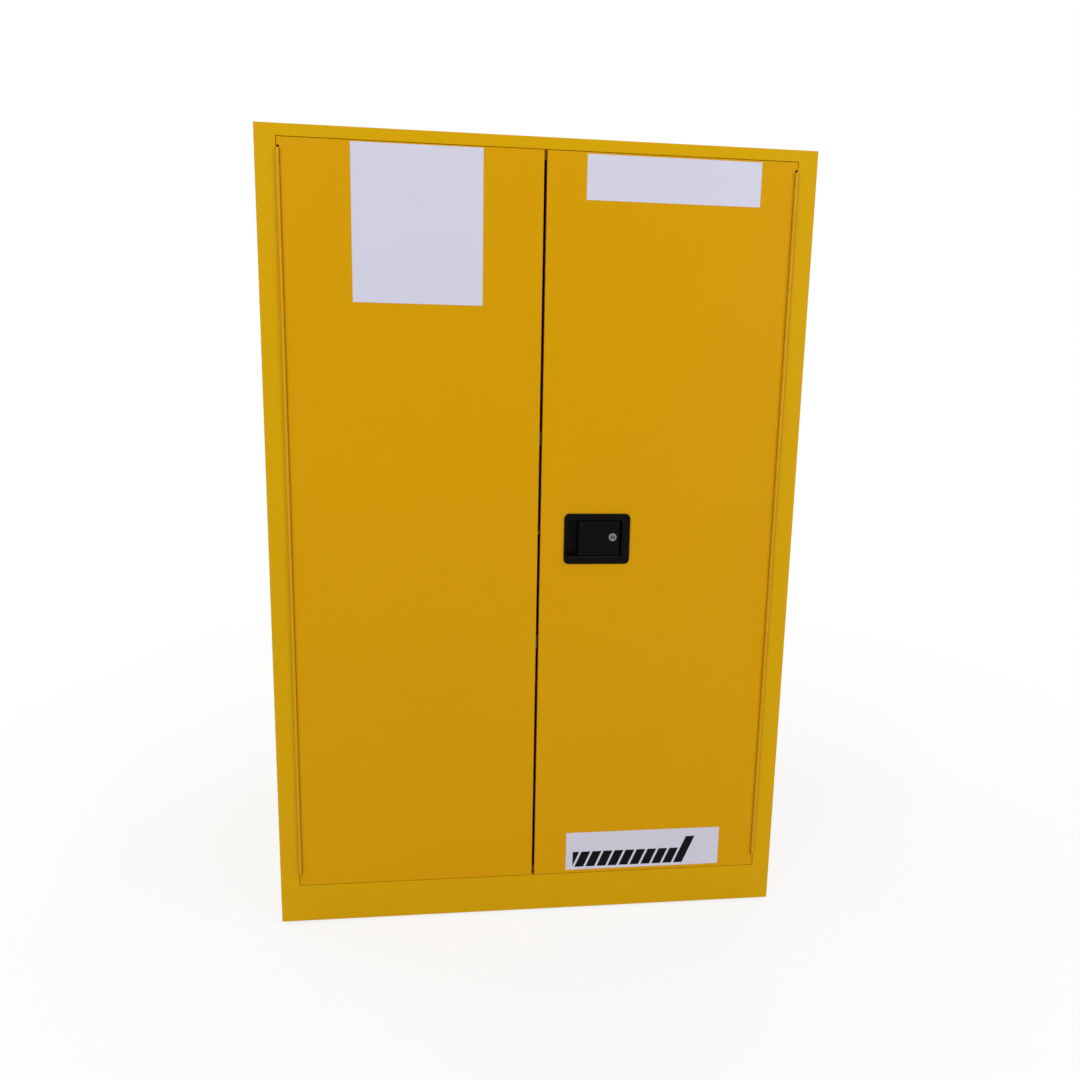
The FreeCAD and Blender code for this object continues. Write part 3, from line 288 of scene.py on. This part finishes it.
GROUPS = {
    "orange_peel": orange_peel_group(),
    "scuffs": scuff_group(),
    "drawn_lines": drawn_lines_group(),
}


def new_material(name):
    """A material with its Principled shader."""
    made = bpy.data.materials.new(name)
    made.use_nodes = True
    return made, made.node_tree, made.node_tree.nodes["Principled BSDF"]


def use_group(tree, name, **values):
    """A shared group placed in a material, with its own values."""
    placed = add_node(tree, "ShaderNodeGroup")
    placed.node_tree = GROUPS[name]
    for label, value in values.items():
        placed.inputs[label.replace("_", " ")].default_value = value
    return placed


def two_tone(tree, factor, first, second):
    """Colour that runs from one tone to another with a mask."""
    mix = add_node(tree, "ShaderNodeMix", data_type="RGBA")
    tree.links.new(factor, mix.inputs["Factor"])
    mix.inputs["A"].default_value = (*first, 1.0)
    mix.inputs["B"].default_value = (*second, 1.0)
    return mix.outputs["Result"]


def graded(tree, factor, low, high):
    """A value that runs between two limits with a mask."""
    grade = add_node(tree, "ShaderNodeMapRange")
    grade.inputs["To Min"].default_value = low
    grade.inputs["To Max"].default_value = high
    tree.links.new(factor, grade.inputs["Value"])
    return grade.outputs["Result"]


def bumped(tree, height, strength, distance):
    """A normal from a height."""
    bump = add_node(tree, "ShaderNodeBump")
    bump.inputs["Strength"].default_value = strength
    bump.inputs["Distance"].default_value = distance
    tree.links.new(height, bump.inputs["Height"])
    return bump.outputs["Normal"]


def powder_coat(name, tones, gloss, rough):
    """Yellow powder coat on steel, with the fine ripples of its spraying, rubbed near the floor."""
    made, tree, shader = new_material(name)
    peel = use_group(tree, "orange_peel", Ripple_Scale=700.0, Drift_Scale=1.8)
    scuff = use_group(tree, "scuffs", Scale=16.0, Level=0.10, Base_Amount=0.03)
    paint = two_tone(tree, peel.outputs["Drift"], *tones)
    rubbed = add_node(tree, "ShaderNodeMix", data_type="RGBA")
    tree.links.new(graded(tree, scuff.outputs["Mask"], 0.0, 0.25), rubbed.inputs["Factor"])
    tree.links.new(paint, rubbed.inputs["A"])
    rubbed.inputs["B"].default_value = (*RUBBED_PAINT, 1.0)
    tree.links.new(rubbed.outputs["Result"], shader.inputs["Base Color"])
    tree.links.new(graded(tree, peel.outputs["Drift"], *rough), shader.inputs["Roughness"])
    tree.links.new(bumped(tree, peel.outputs["Height"], 0.12, 0.0002), shader.inputs["Normal"])
    shader.inputs["Specular IOR Level"].default_value = gloss
    return made


def black_moulding():
    """Black moulded handle parts: fine spark-eroded grain and a low sheen."""
    made, tree, shader = new_material("black_moulding")
    grain = use_group(tree, "orange_peel", Ripple_Scale=2600.0, Drift_Scale=30.0)
    scuff = use_group(tree, "scuffs", Scale=60.0, Level=0.001, Base_Amount=0.5)
    tone = two_tone(tree, scuff.outputs["Mask"], *MOULDED_BLACK)
    tree.links.new(tone, shader.inputs["Base Color"])
    tree.links.new(graded(tree, grain.outputs["Drift"], 0.26, 0.38), shader.inputs["Roughness"])
    tree.links.new(bumped(tree, grain.outputs["Height"], 0.2, 0.0001), shader.inputs["Normal"])
    shader.inputs["Specular IOR Level"].default_value = 0.065
    return made


def metal(name, tones, rough, fineness=600.0, stretch=0.03, strength=0.15):
    """A bare or plated metal with drawn lines."""
    made, tree, shader = new_material(name)
    lines = use_group(tree, "drawn_lines", Fineness=fineness, Stretch=stretch)
    tree.links.new(two_tone(tree, lines.outputs["Mask"], *tones), shader.inputs["Base Color"])
    tree.links.new(graded(tree, lines.outputs["Mask"], *rough), shader.inputs["Roughness"])
    tree.links.new(bumped(tree, lines.outputs["Height"], strength, 0.0001), shader.inputs["Normal"])
    shader.inputs["Metallic"].default_value = 1.0
    return made


def polished(name, tones, rough):
    """A polished and plated metal, with a fine even grain in place of drawn lines."""
    return metal(name, tones, rough, fineness=900.0, stretch=1.0, strength=0.04)


def galvanised_sheet():
    """Zinc spangle: angular crystals that differ in tone and gloss."""
    made, tree, shader = new_material("galvanised_sheet")
    where = add_node(tree, "ShaderNodeTexCoord")
    crystals = add_node(tree, "ShaderNodeTexVoronoi")
    crystals.inputs["Scale"].default_value = 90.0
    tree.links.new(where.outputs["Object"], crystals.inputs["Vector"])
    grey = add_node(tree, "ShaderNodeRGBToBW")
    tree.links.new(crystals.outputs["Color"], grey.inputs["Color"])
    tree.links.new(two_tone(tree, grey.outputs["Val"], *SPANGLED_ZINC), shader.inputs["Base Color"])
    tree.links.new(graded(tree, grey.outputs["Val"], 0.32, 0.5), shader.inputs["Roughness"])
    shader.inputs["Metallic"].default_value = 0.9
    return made


def steel_gauze():
    """Woven wire cloth of the flame arresters, as a fine square weave."""
    made, tree, shader = new_material("steel_gauze")
    where = add_node(tree, "ShaderNodeTexCoord")
    warp = add_node(tree, "ShaderNodeTexWave", bands_direction="Y")
    weft = add_node(tree, "ShaderNodeTexWave", bands_direction="Z")
    over = add_node(tree, "ShaderNodeMath", operation="MAXIMUM")
    for end, wave in enumerate((warp, weft)):
        wave.inputs["Scale"].default_value = 320.0
        tree.links.new(where.outputs["Object"], wave.inputs["Vector"])
        tree.links.new(wave.outputs["Fac"], over.inputs[end])
    # Dark where neither wire runs: painted shade in the openings of the weave
    tree.links.new(two_tone(tree, over.outputs[0], *GAUZE_WIRE_AND_PAINTED_GAP_SHADE), shader.inputs["Base Color"])
    tree.links.new(bumped(tree, over.outputs[0], 0.6, 0.0003), shader.inputs["Normal"])
    shader.inputs["Metallic"].default_value = 1.0
    shader.inputs["Roughness"].default_value = 0.4
    return made


def vinyl(name, tone, gloss):
    """Sticker film or the ink on it: smooth, with faint mottling."""
    made, tree, shader = new_material(name)
    film = use_group(tree, "orange_peel", Ripple_Scale=300.0, Drift_Scale=12.0)
    dull = tuple(FILM_DRIFT * c for c in tone)
    tree.links.new(two_tone(tree, film.outputs["Drift"], dull, tone), shader.inputs["Base Color"])
    tree.links.new(graded(tree, film.outputs["Drift"], 0.30, 0.40), shader.inputs["Roughness"])
    tree.links.new(bumped(tree, film.outputs["Height"], 0.05, 0.0001), shader.inputs["Normal"])
    shader.inputs["Specular IOR Level"].default_value = gloss
    return made


FINISHES = {
    "yellow_paint": powder_coat("yellow_powder_coat", DOOR_PAINT, 0.07, (0.36, 0.46)),
    "shell_paint": powder_coat("shell_powder_coat", SHELL_PAINT, 0.07, (0.36, 0.46)),
    "hinge_paint": powder_coat("hinge_powder_coat", DOOR_PAINT, 0.20, (0.22, 0.30)),
    "black_housing": black_moulding(),
    "zinc_steel": metal("zinc_plated_steel", BRIGHT_ZINC, (0.25, 0.40)),
    # Bolt and rods: yellow passivated zinc, with painted shade of the door gap in its darker tone
    "bolt_zinc_with_painted_shade": metal("passivated_zinc_with_painted_shade", PASSIVATED_ZINC_WITH_PAINTED_SHADE, (0.30, 0.45)),
    # The lock's barrel and plug: plated metal, with a painted dim reflection in their dark tones
    "lock_chrome": polished("lock_chrome", LOCK_CHROME_WITH_PAINTED_DIM_REFLECTION, (0.12, 0.20)),
    "plug_nickel_with_painted_dim_reflection": polished("plug_nickel_with_painted_dim_reflection", PLUG_NICKEL_WITH_PAINTED_DIM_REFLECTION, (0.25, 0.35)),
    "dark_spring": metal("spring_steel", SPRING_STEEL, (0.30, 0.45)),
    "earth_brass": metal("earth_brass", BRASS, (0.25, 0.40)),
    "galvanised": galvanised_sheet(),
    "gauze": steel_gauze(),
    "white_vinyl": vinyl("white_vinyl", STICKER_WHITE, 0.5),
    "black_ink": vinyl("black_ink", PRINT_BLACK, 0.07),
}
FINISHES["vent_metal"] = FINISHES["yellow_paint"]

# Solids whose finish isn't that of their slot
OWN_FINISHES = {
    "lock_plug": "plug_nickel_with_painted_dim_reflection",
    "centre_bolt": "bolt_zinc_with_painted_shade",
    "upper_rod": "bolt_zinc_with_painted_shade",
    "lower_rod": "bolt_zinc_with_painted_shade",
    "front_frame": "shell_paint",
    "left_side_panel": "shell_paint",
    "right_side_panel": "shell_paint",
    "top_panel": "shell_paint",
    "back_panel": "shell_paint",
    "base_panel": "shell_paint",
}


def dress_solids():
    """Give every solid the finish of its slot, or its own."""
    slots = {part["node"]: part["material_slot"] for part in frame["record"]["subparts"]}
    for name, solid in frame["nodes"].items():
        finish = OWN_FINISHES.get(name, slots[name])
        solid.data.materials.clear()
        solid.data.materials.append(FINISHES[finish])


def piece(name, mesh, finish, body):
    """A finished piece from a bmesh, riding on a body."""
    data = bpy.data.meshes.new(name)
    mesh.to_mesh(data)
    mesh.free()
    made = bpy.data.objects.new(name, data)
    bpy.context.scene.collection.objects.link(made)
    data.materials.append(FINISHES[finish])
    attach(made, body)
    return made


def faced_out(mesh):
    """A closed mesh with all its faces turned outward."""
    bmesh.ops.recalc_face_normals(mesh, faces=mesh.faces)
    return mesh


def smooth_but_for_corners(made):
    """Smooth shading on a piece, with its corners kept sharp."""
    made.data.shade_smooth()
    made.data.set_sharp_from_angle(angle=math.radians(SHARP_TURN))


def facing(place, way):
    """The frame of a piece that stands on a place, with its own z along a way."""
    turn = Vector((0, 0, 1)).rotation_difference(Vector(way)).to_matrix().to_4x4()
    return Matrix.Translation(place) @ turn


def turns_of(count):
    """Angles of evenly spaced places round a circle."""
    return [2 * math.pi * k / count for k in range(count)]


def ring(mesh, seat, radius, height, sides):
    """A level circle of points in a piece's own frame."""
    return [
        mesh.verts.new(seat @ Vector((radius * math.cos(t), radius * math.sin(t), height)))
        for t in turns_of(sides)
    ]


def skin(mesh, low, high):
    """Faces between two rings with the same count of points."""
    for k in range(len(low)):
        j = (k + 1) % len(low)
        mesh.faces.new((low[k], low[j], high[j], high[k]))


def plug_ends(mesh, low, high):
    """Flat ends on the first and last ring of a rod or a prism."""
    mesh.faces.new(low[::-1])
    mesh.faces.new(high)


def sheet_on_door(mesh, outline, front, back):
    """A thin flat film on a door, given its outline seen from the front."""
    near = [mesh.verts.new((x, front, z)) for x, z in outline]
    far = [mesh.verts.new((x, back, z)) for x, z in outline]
    skin(mesh, near, far)
    plug_ends(mesh, near, far)


def sticker(name, area, body):
    """A plain white sticker on a door."""
    x0, x1, z0, z1 = area
    mesh = bmesh.new()
    outline = ((x0, z0), (x1, z0), (x1, z1), (x0, z1))
    sheet_on_door(mesh, outline, FACE_Y - STICKER_T, FACE_Y)
    piece(name, faced_out(mesh), "white_vinyl", body)


def whole_band(left, low, high):
    """Corners of one leaning band of the low sticker."""
    lean = BAND_LEAN * (high - low) / (BAND_HIGH - BAND_LOW)
    return ((left, low), (left + BAND_W, low), (left + BAND_W + lean, high), (left + lean, high))


def cut_band():
    """Corners of the band that the left edge of the print cuts off."""
    right = BAND_FIRST - BAND_PITCH + BAND_W + BAND_LEAN
    drop = (right - PRINT_LEFT) * (BAND_HIGH - BAND_LOW) / BAND_LEAN
    return ((PRINT_LEFT, BAND_HIGH - drop), (right, BAND_HIGH), (PRINT_LEFT, BAND_HIGH))


def low_sticker_bands():
    """Black bands that lean to the right along the low sticker, the last one longer."""
    outlines = [cut_band()]
    for i in range(BAND_COUNT):
        outlines.append(whole_band(BAND_FIRST + BAND_PITCH * i, BAND_LOW, BAND_HIGH))
    outlines.append(whole_band(BAND_FIRST + BAND_PITCH * BAND_COUNT, BAND_LOW, LONG_BAND_TOP))
    mesh = bmesh.new()
    for outline in outlines:
        sheet_on_door(mesh, outline, FACE_Y - STICKER_T - PRINT_T, FACE_Y - STICKER_T)
    piece("low_sticker_bands", faced_out(mesh), "black_ink", "right_door")


def stickers():
    """The three stickers, bare but for plain bands."""
    sticker("large_sticker", LARGE_STICKER, "left_door")
    sticker("long_sticker", LONG_STICKER, "right_door")
    sticker("low_sticker", LOW_STICKER, "right_door")
    low_sticker_bands()


def flank(mesh, seat, radius, height, end):
    """The closed foot and the flank of a round head up to an angle; gives its last ring."""
    loops = []
    for i in range(HEAD_RINGS):
        lean = math.radians(end) * i / (HEAD_RINGS - 1)
        loops.append(ring(mesh, seat, radius * math.cos(lean), height * math.sin(lean), HEAD_SIDES))
    for low, high in zip(loops, loops[1:]):
        skin(mesh, low, high)
    mesh.faces.new(loops[0][::-1])
    return loops[-1]


def rivet_head(mesh, place, way, radius, height):
    """A low round rivet head that stands on a place and faces a way."""
    mesh.faces.new(flank(mesh, facing(place, way), radius, height, RIVET_FLANK))


def cross_outline(radius):
    """Corners of the cross in a screw head."""
    far, near = radius * CROSS_REACH, radius * CROSS_HALF
    outline = []
    for turn in range(4):
        for x, y in ((far, -near), (far, near), (near, near)):
            for _ in range(turn):
                x, y = -y, x
            outline.append((x, y))
    return outline


def screw_head(mesh, place, way, radius, height):
    """A round screw head with a sunken cross."""
    seat = facing(place, way)
    rim = flank(mesh, seat, radius, height, SCREW_FLANK)
    top = height * math.sin(math.radians(SCREW_FLANK))
    outline = cross_outline(radius)
    mouth = [mesh.verts.new(seat @ Vector((x, y, top))) for x, y in outline]
    floor = [mesh.verts.new(seat @ Vector((x, y, top * (1 - CROSS_DEPTH)))) for x, y in outline]
    skin(mesh, mouth, floor)
    mesh.faces.new(floor)
    edges = []
    for loop in (rim, mouth):
        edges += [mesh.edges.get((loop[k - 1], loop[k])) for k in range(len(loop))]
    bmesh.ops.triangle_fill(mesh, edges=edges, use_beauty=True)


def screws(name, mesh, body):
    """A piece of zinc-plated screw heads."""
    smooth_but_for_corners(piece(name, faced_out(mesh), "zinc_steel", body))


def cover_screws():
    """Six screws down the two sides of the latch cover."""
    low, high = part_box("latch_cover")
    levels = (low.z + COVER_SCREW_INSET, (low.z + high.z) / 2, high.z - COVER_SCREW_INSET)
    mesh = bmesh.new()
    for x in (low.x + COVER_SCREW_INSET, high.x - COVER_SCREW_INSET):
        for z in levels:
            screw_head(mesh, (x, high.y, z), (0, 1, 0), SCREW_R, SCREW_H)
    screws("cover_screws", mesh, "right_door")


def latch_plate_screws():
    """Four screws that hold the latch plate to the dish."""
    low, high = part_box("latch_plate")
    mesh = bmesh.new()
    for x in PLATE_SCREW_X:
        for z in (low.z + PLATE_SCREW_INSET, high.z - PLATE_SCREW_INSET):
            screw_head(mesh, (low.x + x, low.y + PLATE_T, z), (0, 1, 0), SCREW_R, SCREW_H)
    screws("latch_plate_screws", mesh, "right_door")


def cam_screw():
    """The screw that holds the cam on the lock plug."""
    low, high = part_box("lock_plug")
    centre = (low + high) / 2
    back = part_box("lock_cam")[1].y
    mesh = bmesh.new()
    screw_head(mesh, (centre.x, back, centre.z), (0, 1, 0), CAM_SCREW_R, CAM_SCREW_H)
    screws("cam_screw", mesh, "lock")


def wire(mesh, path, radius, sides):
    """A round wire through points that climb slowly, closed at both ends."""
    loops = []
    for i, place in enumerate(path):
        along = (path[min(i + 1, len(path) - 1)] - path[max(i - 1, 0)]).normalized()
        out = along.cross(Vector((0, 0, 1))).normalized()
        up = out.cross(along)
        loops.append([
            mesh.verts.new(place + (out * math.cos(t) + up * math.sin(t)) * radius)
            for t in turns_of(sides)
        ])
    for low, high in zip(loops, loops[1:]):
        skin(mesh, low, high)
    plug_ends(mesh, loops[0], loops[-1])


def paddle_spring_coil():
    """The torsion spring of the paddle, wound round its pin, with a leg at each end."""
    low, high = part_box("paddle_spring")
    reach = SPRING_R - SPRING_WIRE_R
    centre = Vector((high.x - SPRING_R, low.y + SPRING_R, low.z + SPRING_WIRE_R))
    rise = high.z - low.z - 2 * SPRING_WIRE_R
    count = SPRING_STEPS * SPRING_TURNS + SPRING_STEPS // 4
    path = [Vector((low.x, centre.y - reach, centre.z))]
    for i in range(count + 1):
        turn = 2 * math.pi * i / SPRING_STEPS - math.pi / 2
        step = Vector((reach * math.cos(turn), reach * math.sin(turn), rise * i / count))
        path.append(centre + step)
    path.append(Vector((centre.x + reach, high.y, centre.z + rise)))
    mesh = bmesh.new()
    wire(mesh, path, SPRING_WIRE_R, SPRING_WIRE_SIDES)
    made = piece("paddle_spring_coil", faced_out(mesh), "dark_spring", "right_door")
    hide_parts("paddle_spring")
    made.data.shade_smooth()


def turned(mesh, seat, profile, sides):
    """A closed ring turned about a frame's z, from its outline as radius and height."""
    loops = [ring(mesh, seat, radius, height, sides) for radius, height in profile]
    for low, high in zip(loops, loops[1:] + loops[:1]):
        skin(mesh, low, high)


def lock_barrel():
    """The lock's barrel with a rounded rim round the plug."""
    low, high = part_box("lock_body")
    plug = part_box("lock_plug")
    outer = (high.x - low.x) / 2
    bore = (plug[1].x - plug[0].x) / 2 + BARREL_CLEAR
    length = high.y - low.y
    profile = [(bore, 0), (outer, 0)]
    for i in range(RIM_STEPS + 1):
        turn = math.pi / 2 * i / RIM_STEPS
        radius = outer - BARREL_RIM_R * (1 - math.cos(turn))
        profile.append((radius, length - BARREL_RIM_R * (1 - math.sin(turn))))
    profile.append((bore + BORE_BEVEL, length))
    profile.append((bore, length - BORE_BEVEL))
    centre = (low + high) / 2
    seat = facing((centre.x, high.y, centre.z), (0, -1, 0))
    mesh = bmesh.new()
    turned(mesh, seat, profile, BARREL_SIDES)
    made = piece("lock_barrel", faced_out(mesh), "lock_chrome", "paddle")
    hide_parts("lock_body")
    smooth_but_for_corners(made)


def prism(mesh, outline, low, high):
    """A solid between two levels, from its outline as x and y."""
    bottom = [mesh.verts.new((x, y, low)) for x, y in outline]
    top = [mesh.verts.new((x, y, high)) for x, y in outline]
    skin(mesh, bottom, top)
    plug_ends(mesh, bottom, top)


def leaf_size(leaf):
    """Pin axis in x and y, barrel radius, and ends in z of a hinge leaf's solid."""
    low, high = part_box(leaf)
    radius = (high.x - low.x) / 2
    return (low.x + radius, low.y + radius), radius, low.z, high.z


def knuckle_outline(axis, side, radius, back):
    """Section of a knuckle: the root of its leaf curled round the pin."""
    inside = radius - LEAF_T
    start = math.acos(inside / radius)
    outline = [(axis[0] + side * radius, back), (axis[0] + side * inside, back)]
    for i in range(KNUCKLE_STEPS + 1):
        turn = start + (2 * math.pi - start) * i / KNUCKLE_STEPS
        x = axis[0] + side * radius * math.cos(turn)
        y = axis[1] + radius * math.sin(turn)
        outline.append((x, y))
    return outline


def hinge_knuckles(name, leaf, side, first, body):
    """One leaf of a continuous hinge, with every second knuckle of the row."""
    axis, radius, bottom, top = leaf_size(leaf)
    back = axis[1] + radius + LEAF_STANDOFF
    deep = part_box(leaf)[1].y
    pairs = round((top - bottom) / KNUCKLE_PITCH / 2)
    pitch = (top - bottom) / (2 * pairs + 1)
    near, far = sorted((axis[0] + side * radius, axis[0] + side * (radius - LEAF_T)))
    mesh = bmesh.new()
    prism(mesh, [(near, back), (far, back), (far, deep), (near, deep)], bottom, top)
    outline = knuckle_outline(axis, side, radius, back)
    for i in range(first, 2 * pairs + 1, 2):
        start = bottom + pitch * i
        prism(mesh, outline, start + KNUCKLE_SPLIT / 2, start + pitch - KNUCKLE_SPLIT / 2)
    made = piece(name, faced_out(mesh), "hinge_paint", body)
    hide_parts(leaf)
    smooth_but_for_corners(made)


def hinge_pin(name, leaf):
    """The pin that runs through the knuckles of one hinge."""
    axis, radius, bottom, top = leaf_size(leaf)
    seat = facing((*axis, bottom), (0, 0, 1))
    thick = radius - LEAF_T - PIN_CLEAR
    mesh = bmesh.new()
    ends = [ring(mesh, seat, thick, height, PIN_SIDES) for height in (0, top - bottom)]
    skin(mesh, *ends)
    plug_ends(mesh, *ends)
    smooth_but_for_corners(piece(name, mesh, "hinge_paint", "cabinet"))


def hinge_rivets(name, leaf, side, body):
    """A row of rivet heads down one hinge leaf, on the face that shows when the door is open."""
    low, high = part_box(leaf)
    outer = low.x if side < 0 else high.x
    step = (high.z - low.z) / RIVETS
    mesh = bmesh.new()
    for i in range(RIVETS):
        place = (outer - side * LEAF_T, high.y - RIVET_INSET, low.z + step * (i + 0.5))
        rivet_head(mesh, place, (-side, 0, 0), RIVET_R, RIVET_H)
    smooth_but_for_corners(piece(name, faced_out(mesh), "hinge_paint", body))


def hinges():
    """Leaves, pins and rivets of the two continuous hinges."""
    for hand, side in (("right", 1), ("left", -1)):
        frame_leaf, door_leaf, door = hand + "_frame_leaf", hand + "_door_leaf", hand + "_door"
        hinge_rivets(hand + "_frame_rivets", frame_leaf, side, "cabinet")
        hinge_rivets(hand + "_door_rivets", door_leaf, -side, door)
        hinge_knuckles(hand + "_frame_knuckles", frame_leaf, side, 0, "cabinet")
        hinge_knuckles(hand + "_door_knuckles", door_leaf, -side, 1, door)
        hinge_pin(hand + "_hinge_pin", frame_leaf)


def evenly(start, end, pitch):
    """Places at about a pitch from one end of a line to the other."""
    count = round((end - start) / pitch)
    return [start + (end - start) * i / count for i in range(count + 1)]


def panel_rivets():
    """Painted rivets round the back panel, and down the rear edges of the side panels."""
    low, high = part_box("back_panel")
    left, right = low.x + PANEL_RIVET_INSET, high.x - PANEL_RIVET_INSET
    bottom, top = low.z + PANEL_RIVET_INSET, high.z - PANEL_RIVET_INSET
    levels = evenly(bottom, top, PANEL_RIVET_PITCH)
    places = [((x, high.y, z), (0, 1, 0)) for z in levels for x in (left, right)]
    for x in evenly(left, right, PANEL_RIVET_PITCH)[1:-1]:
        places += [((x, high.y, z), (0, 1, 0)) for z in (bottom, top)]
    for panel, side in (("left_side_panel", -1), ("right_side_panel", 1)):
        near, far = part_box(panel)
        face = near.x if side < 0 else far.x
        places += [((face, far.y - PANEL_RIVET_INSET, z), (side, 0, 0)) for z in levels]
    mesh = bmesh.new()
    for place, way in places:
        rivet_head(mesh, place, way, PANEL_RIVET_R, PANEL_RIVET_H)
    made = piece("panel_rivets", faced_out(mesh), "shell_paint", "cabinet")
    smooth_but_for_corners(made)


def camera():
    """The camera of the photograph."""
    data = bpy.data.cameras.new("camera")
    data.lens = CAMERA_LENS
    data.sensor_width = CAMERA_SENSOR
    data.shift_x, data.shift_y = CAMERA_SHIFT
    made = bpy.data.objects.new("camera", data)
    bpy.context.scene.collection.objects.link(made)
    turn = (
        Matrix.Rotation(math.radians(CAMERA_HEADING), 4, "Z")
        @ Matrix.Rotation(math.radians(CAMERA_TILT), 4, "X")
        @ Matrix.Rotation(math.radians(CAMERA_ROLL), 4, "Z")
    )
    made.matrix_world = Matrix.Translation(CAMERA_PLACE) @ turn
    bpy.context.scene.camera = made


def lamp(name, place, target, side, power):
    """A large soft lamp aimed at a point."""
    data = bpy.data.lights.new(name, "AREA")
    data.shape = "RECTANGLE"
    data.size = side
    data.size_y = side
    data.energy = power
    made = bpy.data.objects.new(name, data)
    bpy.context.scene.collection.objects.link(made)
    made.location = place
    aim = Vector(target) - Vector(place)
    made.rotation_euler = aim.to_track_quat("-Z", "Y").to_euler()


def seen_ray(tree):
    """1 for rays that show the surroundings: camera, mirror and glass rays."""
    path = add_node(tree, "ShaderNodeLightPath")
    first = add_node(tree, "ShaderNodeMath", operation="MAXIMUM")
    second = add_node(tree, "ShaderNodeMath", operation="MAXIMUM")
    tree.links.new(path.outputs["Is Camera Ray"], first.inputs[0])
    tree.links.new(path.outputs["Is Glossy Ray"], first.inputs[1])
    tree.links.new(first.outputs[0], second.inputs[0])
    tree.links.new(path.outputs["Is Transmission Ray"], second.inputs[1])
    return second.outputs[0]


def floor_glow(tree):
    """How much of the floor glows white where it is seen, less near the cabinet for its shadow."""
    where = add_node(tree, "ShaderNodeTexCoord")
    away = add_node(tree, "ShaderNodeVectorMath", operation="LENGTH")
    fade = add_node(tree, "ShaderNodeMapRange")
    fade.inputs["From Min"].default_value = GLOW_FROM
    fade.inputs["From Max"].default_value = GLOW_TO
    fade.inputs["To Min"].default_value = GLOW_NEAR
    fade.inputs["To Max"].default_value = GLOW_AWAY
    share = add_node(tree, "ShaderNodeMath", operation="MULTIPLY")
    tree.links.new(where.outputs["Object"], away.inputs[0])
    tree.links.new(away.outputs["Value"], fade.inputs["Value"])
    tree.links.new(seen_ray(tree), share.inputs[0])
    tree.links.new(fade.outputs["Result"], share.inputs[1])
    return share.outputs[0]


def floor_material():
    """Pale matt floor, mixed with the white that it shows to the camera."""
    made, tree, shader = new_material("studio_floor")
    shader.inputs["Base Color"].default_value = FLOOR_TONE
    shader.inputs["Roughness"].default_value = 0.9
    shader.inputs["Specular IOR Level"].default_value = 0.0
    glow = add_node(tree, "ShaderNodeEmission")
    glow.inputs["Strength"].default_value = 1.0
    mix = add_node(tree, "ShaderNodeMixShader")
    tree.links.new(floor_glow(tree), mix.inputs["Fac"])
    tree.links.new(shader.outputs["BSDF"], mix.inputs[1])
    tree.links.new(glow.outputs["Emission"], mix.inputs[2])
    tree.links.new(mix.outputs["Shader"], tree.nodes["Material Output"].inputs["Surface"])
    return made


def studio_floor():
    """A wide pale floor that looks white and still takes the cabinet's shadow."""
    mesh = bmesh.new()
    corners = ((-1, -1), (1, -1), (1, 1), (-1, 1))
    mesh.faces.new([mesh.verts.new((x * FLOOR_REACH, y * FLOOR_REACH, 0)) for x, y in corners])
    data = bpy.data.meshes.new("studio_floor")
    mesh.to_mesh(data)
    mesh.free()
    data.materials.append(floor_material())
    floor = bpy.data.objects.new("studio_floor", data)
    bpy.context.scene.collection.objects.link(floor)


def studio_world():
    """An even grey surround for light, and white where it is seen."""
    world = bpy.data.worlds.new("studio")
    bpy.context.scene.world = world
    world.use_nodes = True
    tree = world.node_tree
    light = tree.nodes["Background"]
    light.inputs["Color"].default_value = WHITE
    light.inputs["Strength"].default_value = SURROUND_STRENGTH
    seen = add_node(tree, "ShaderNodeBackground")
    seen.inputs["Color"].default_value = WHITE
    seen.inputs["Strength"].default_value = 1.0
    mix = add_node(tree, "ShaderNodeMixShader")
    tree.links.new(seen_ray(tree), mix.inputs["Fac"])
    tree.links.new(light.outputs["Background"], mix.inputs[1])
    tree.links.new(seen.outputs["Background"], mix.inputs[2])
    tree.links.new(mix.outputs["Shader"], tree.nodes["World Output"].inputs["Surface"])


def studio():
    """Floor, surround, lamps and camera."""
    studio_floor()
    studio_world()
    for name, (place, target, side, power) in LAMPS.items():
        lamp(name, place, target, side, power)
    camera()
    bpy.context.scene.view_settings.view_transform = "Standard"


dress_solids()
stickers()
hinges()
panel_rivets()
cover_screws()
latch_plate_screws()
cam_screw()
lock_barrel()
paddle_spring_coil()
studio()
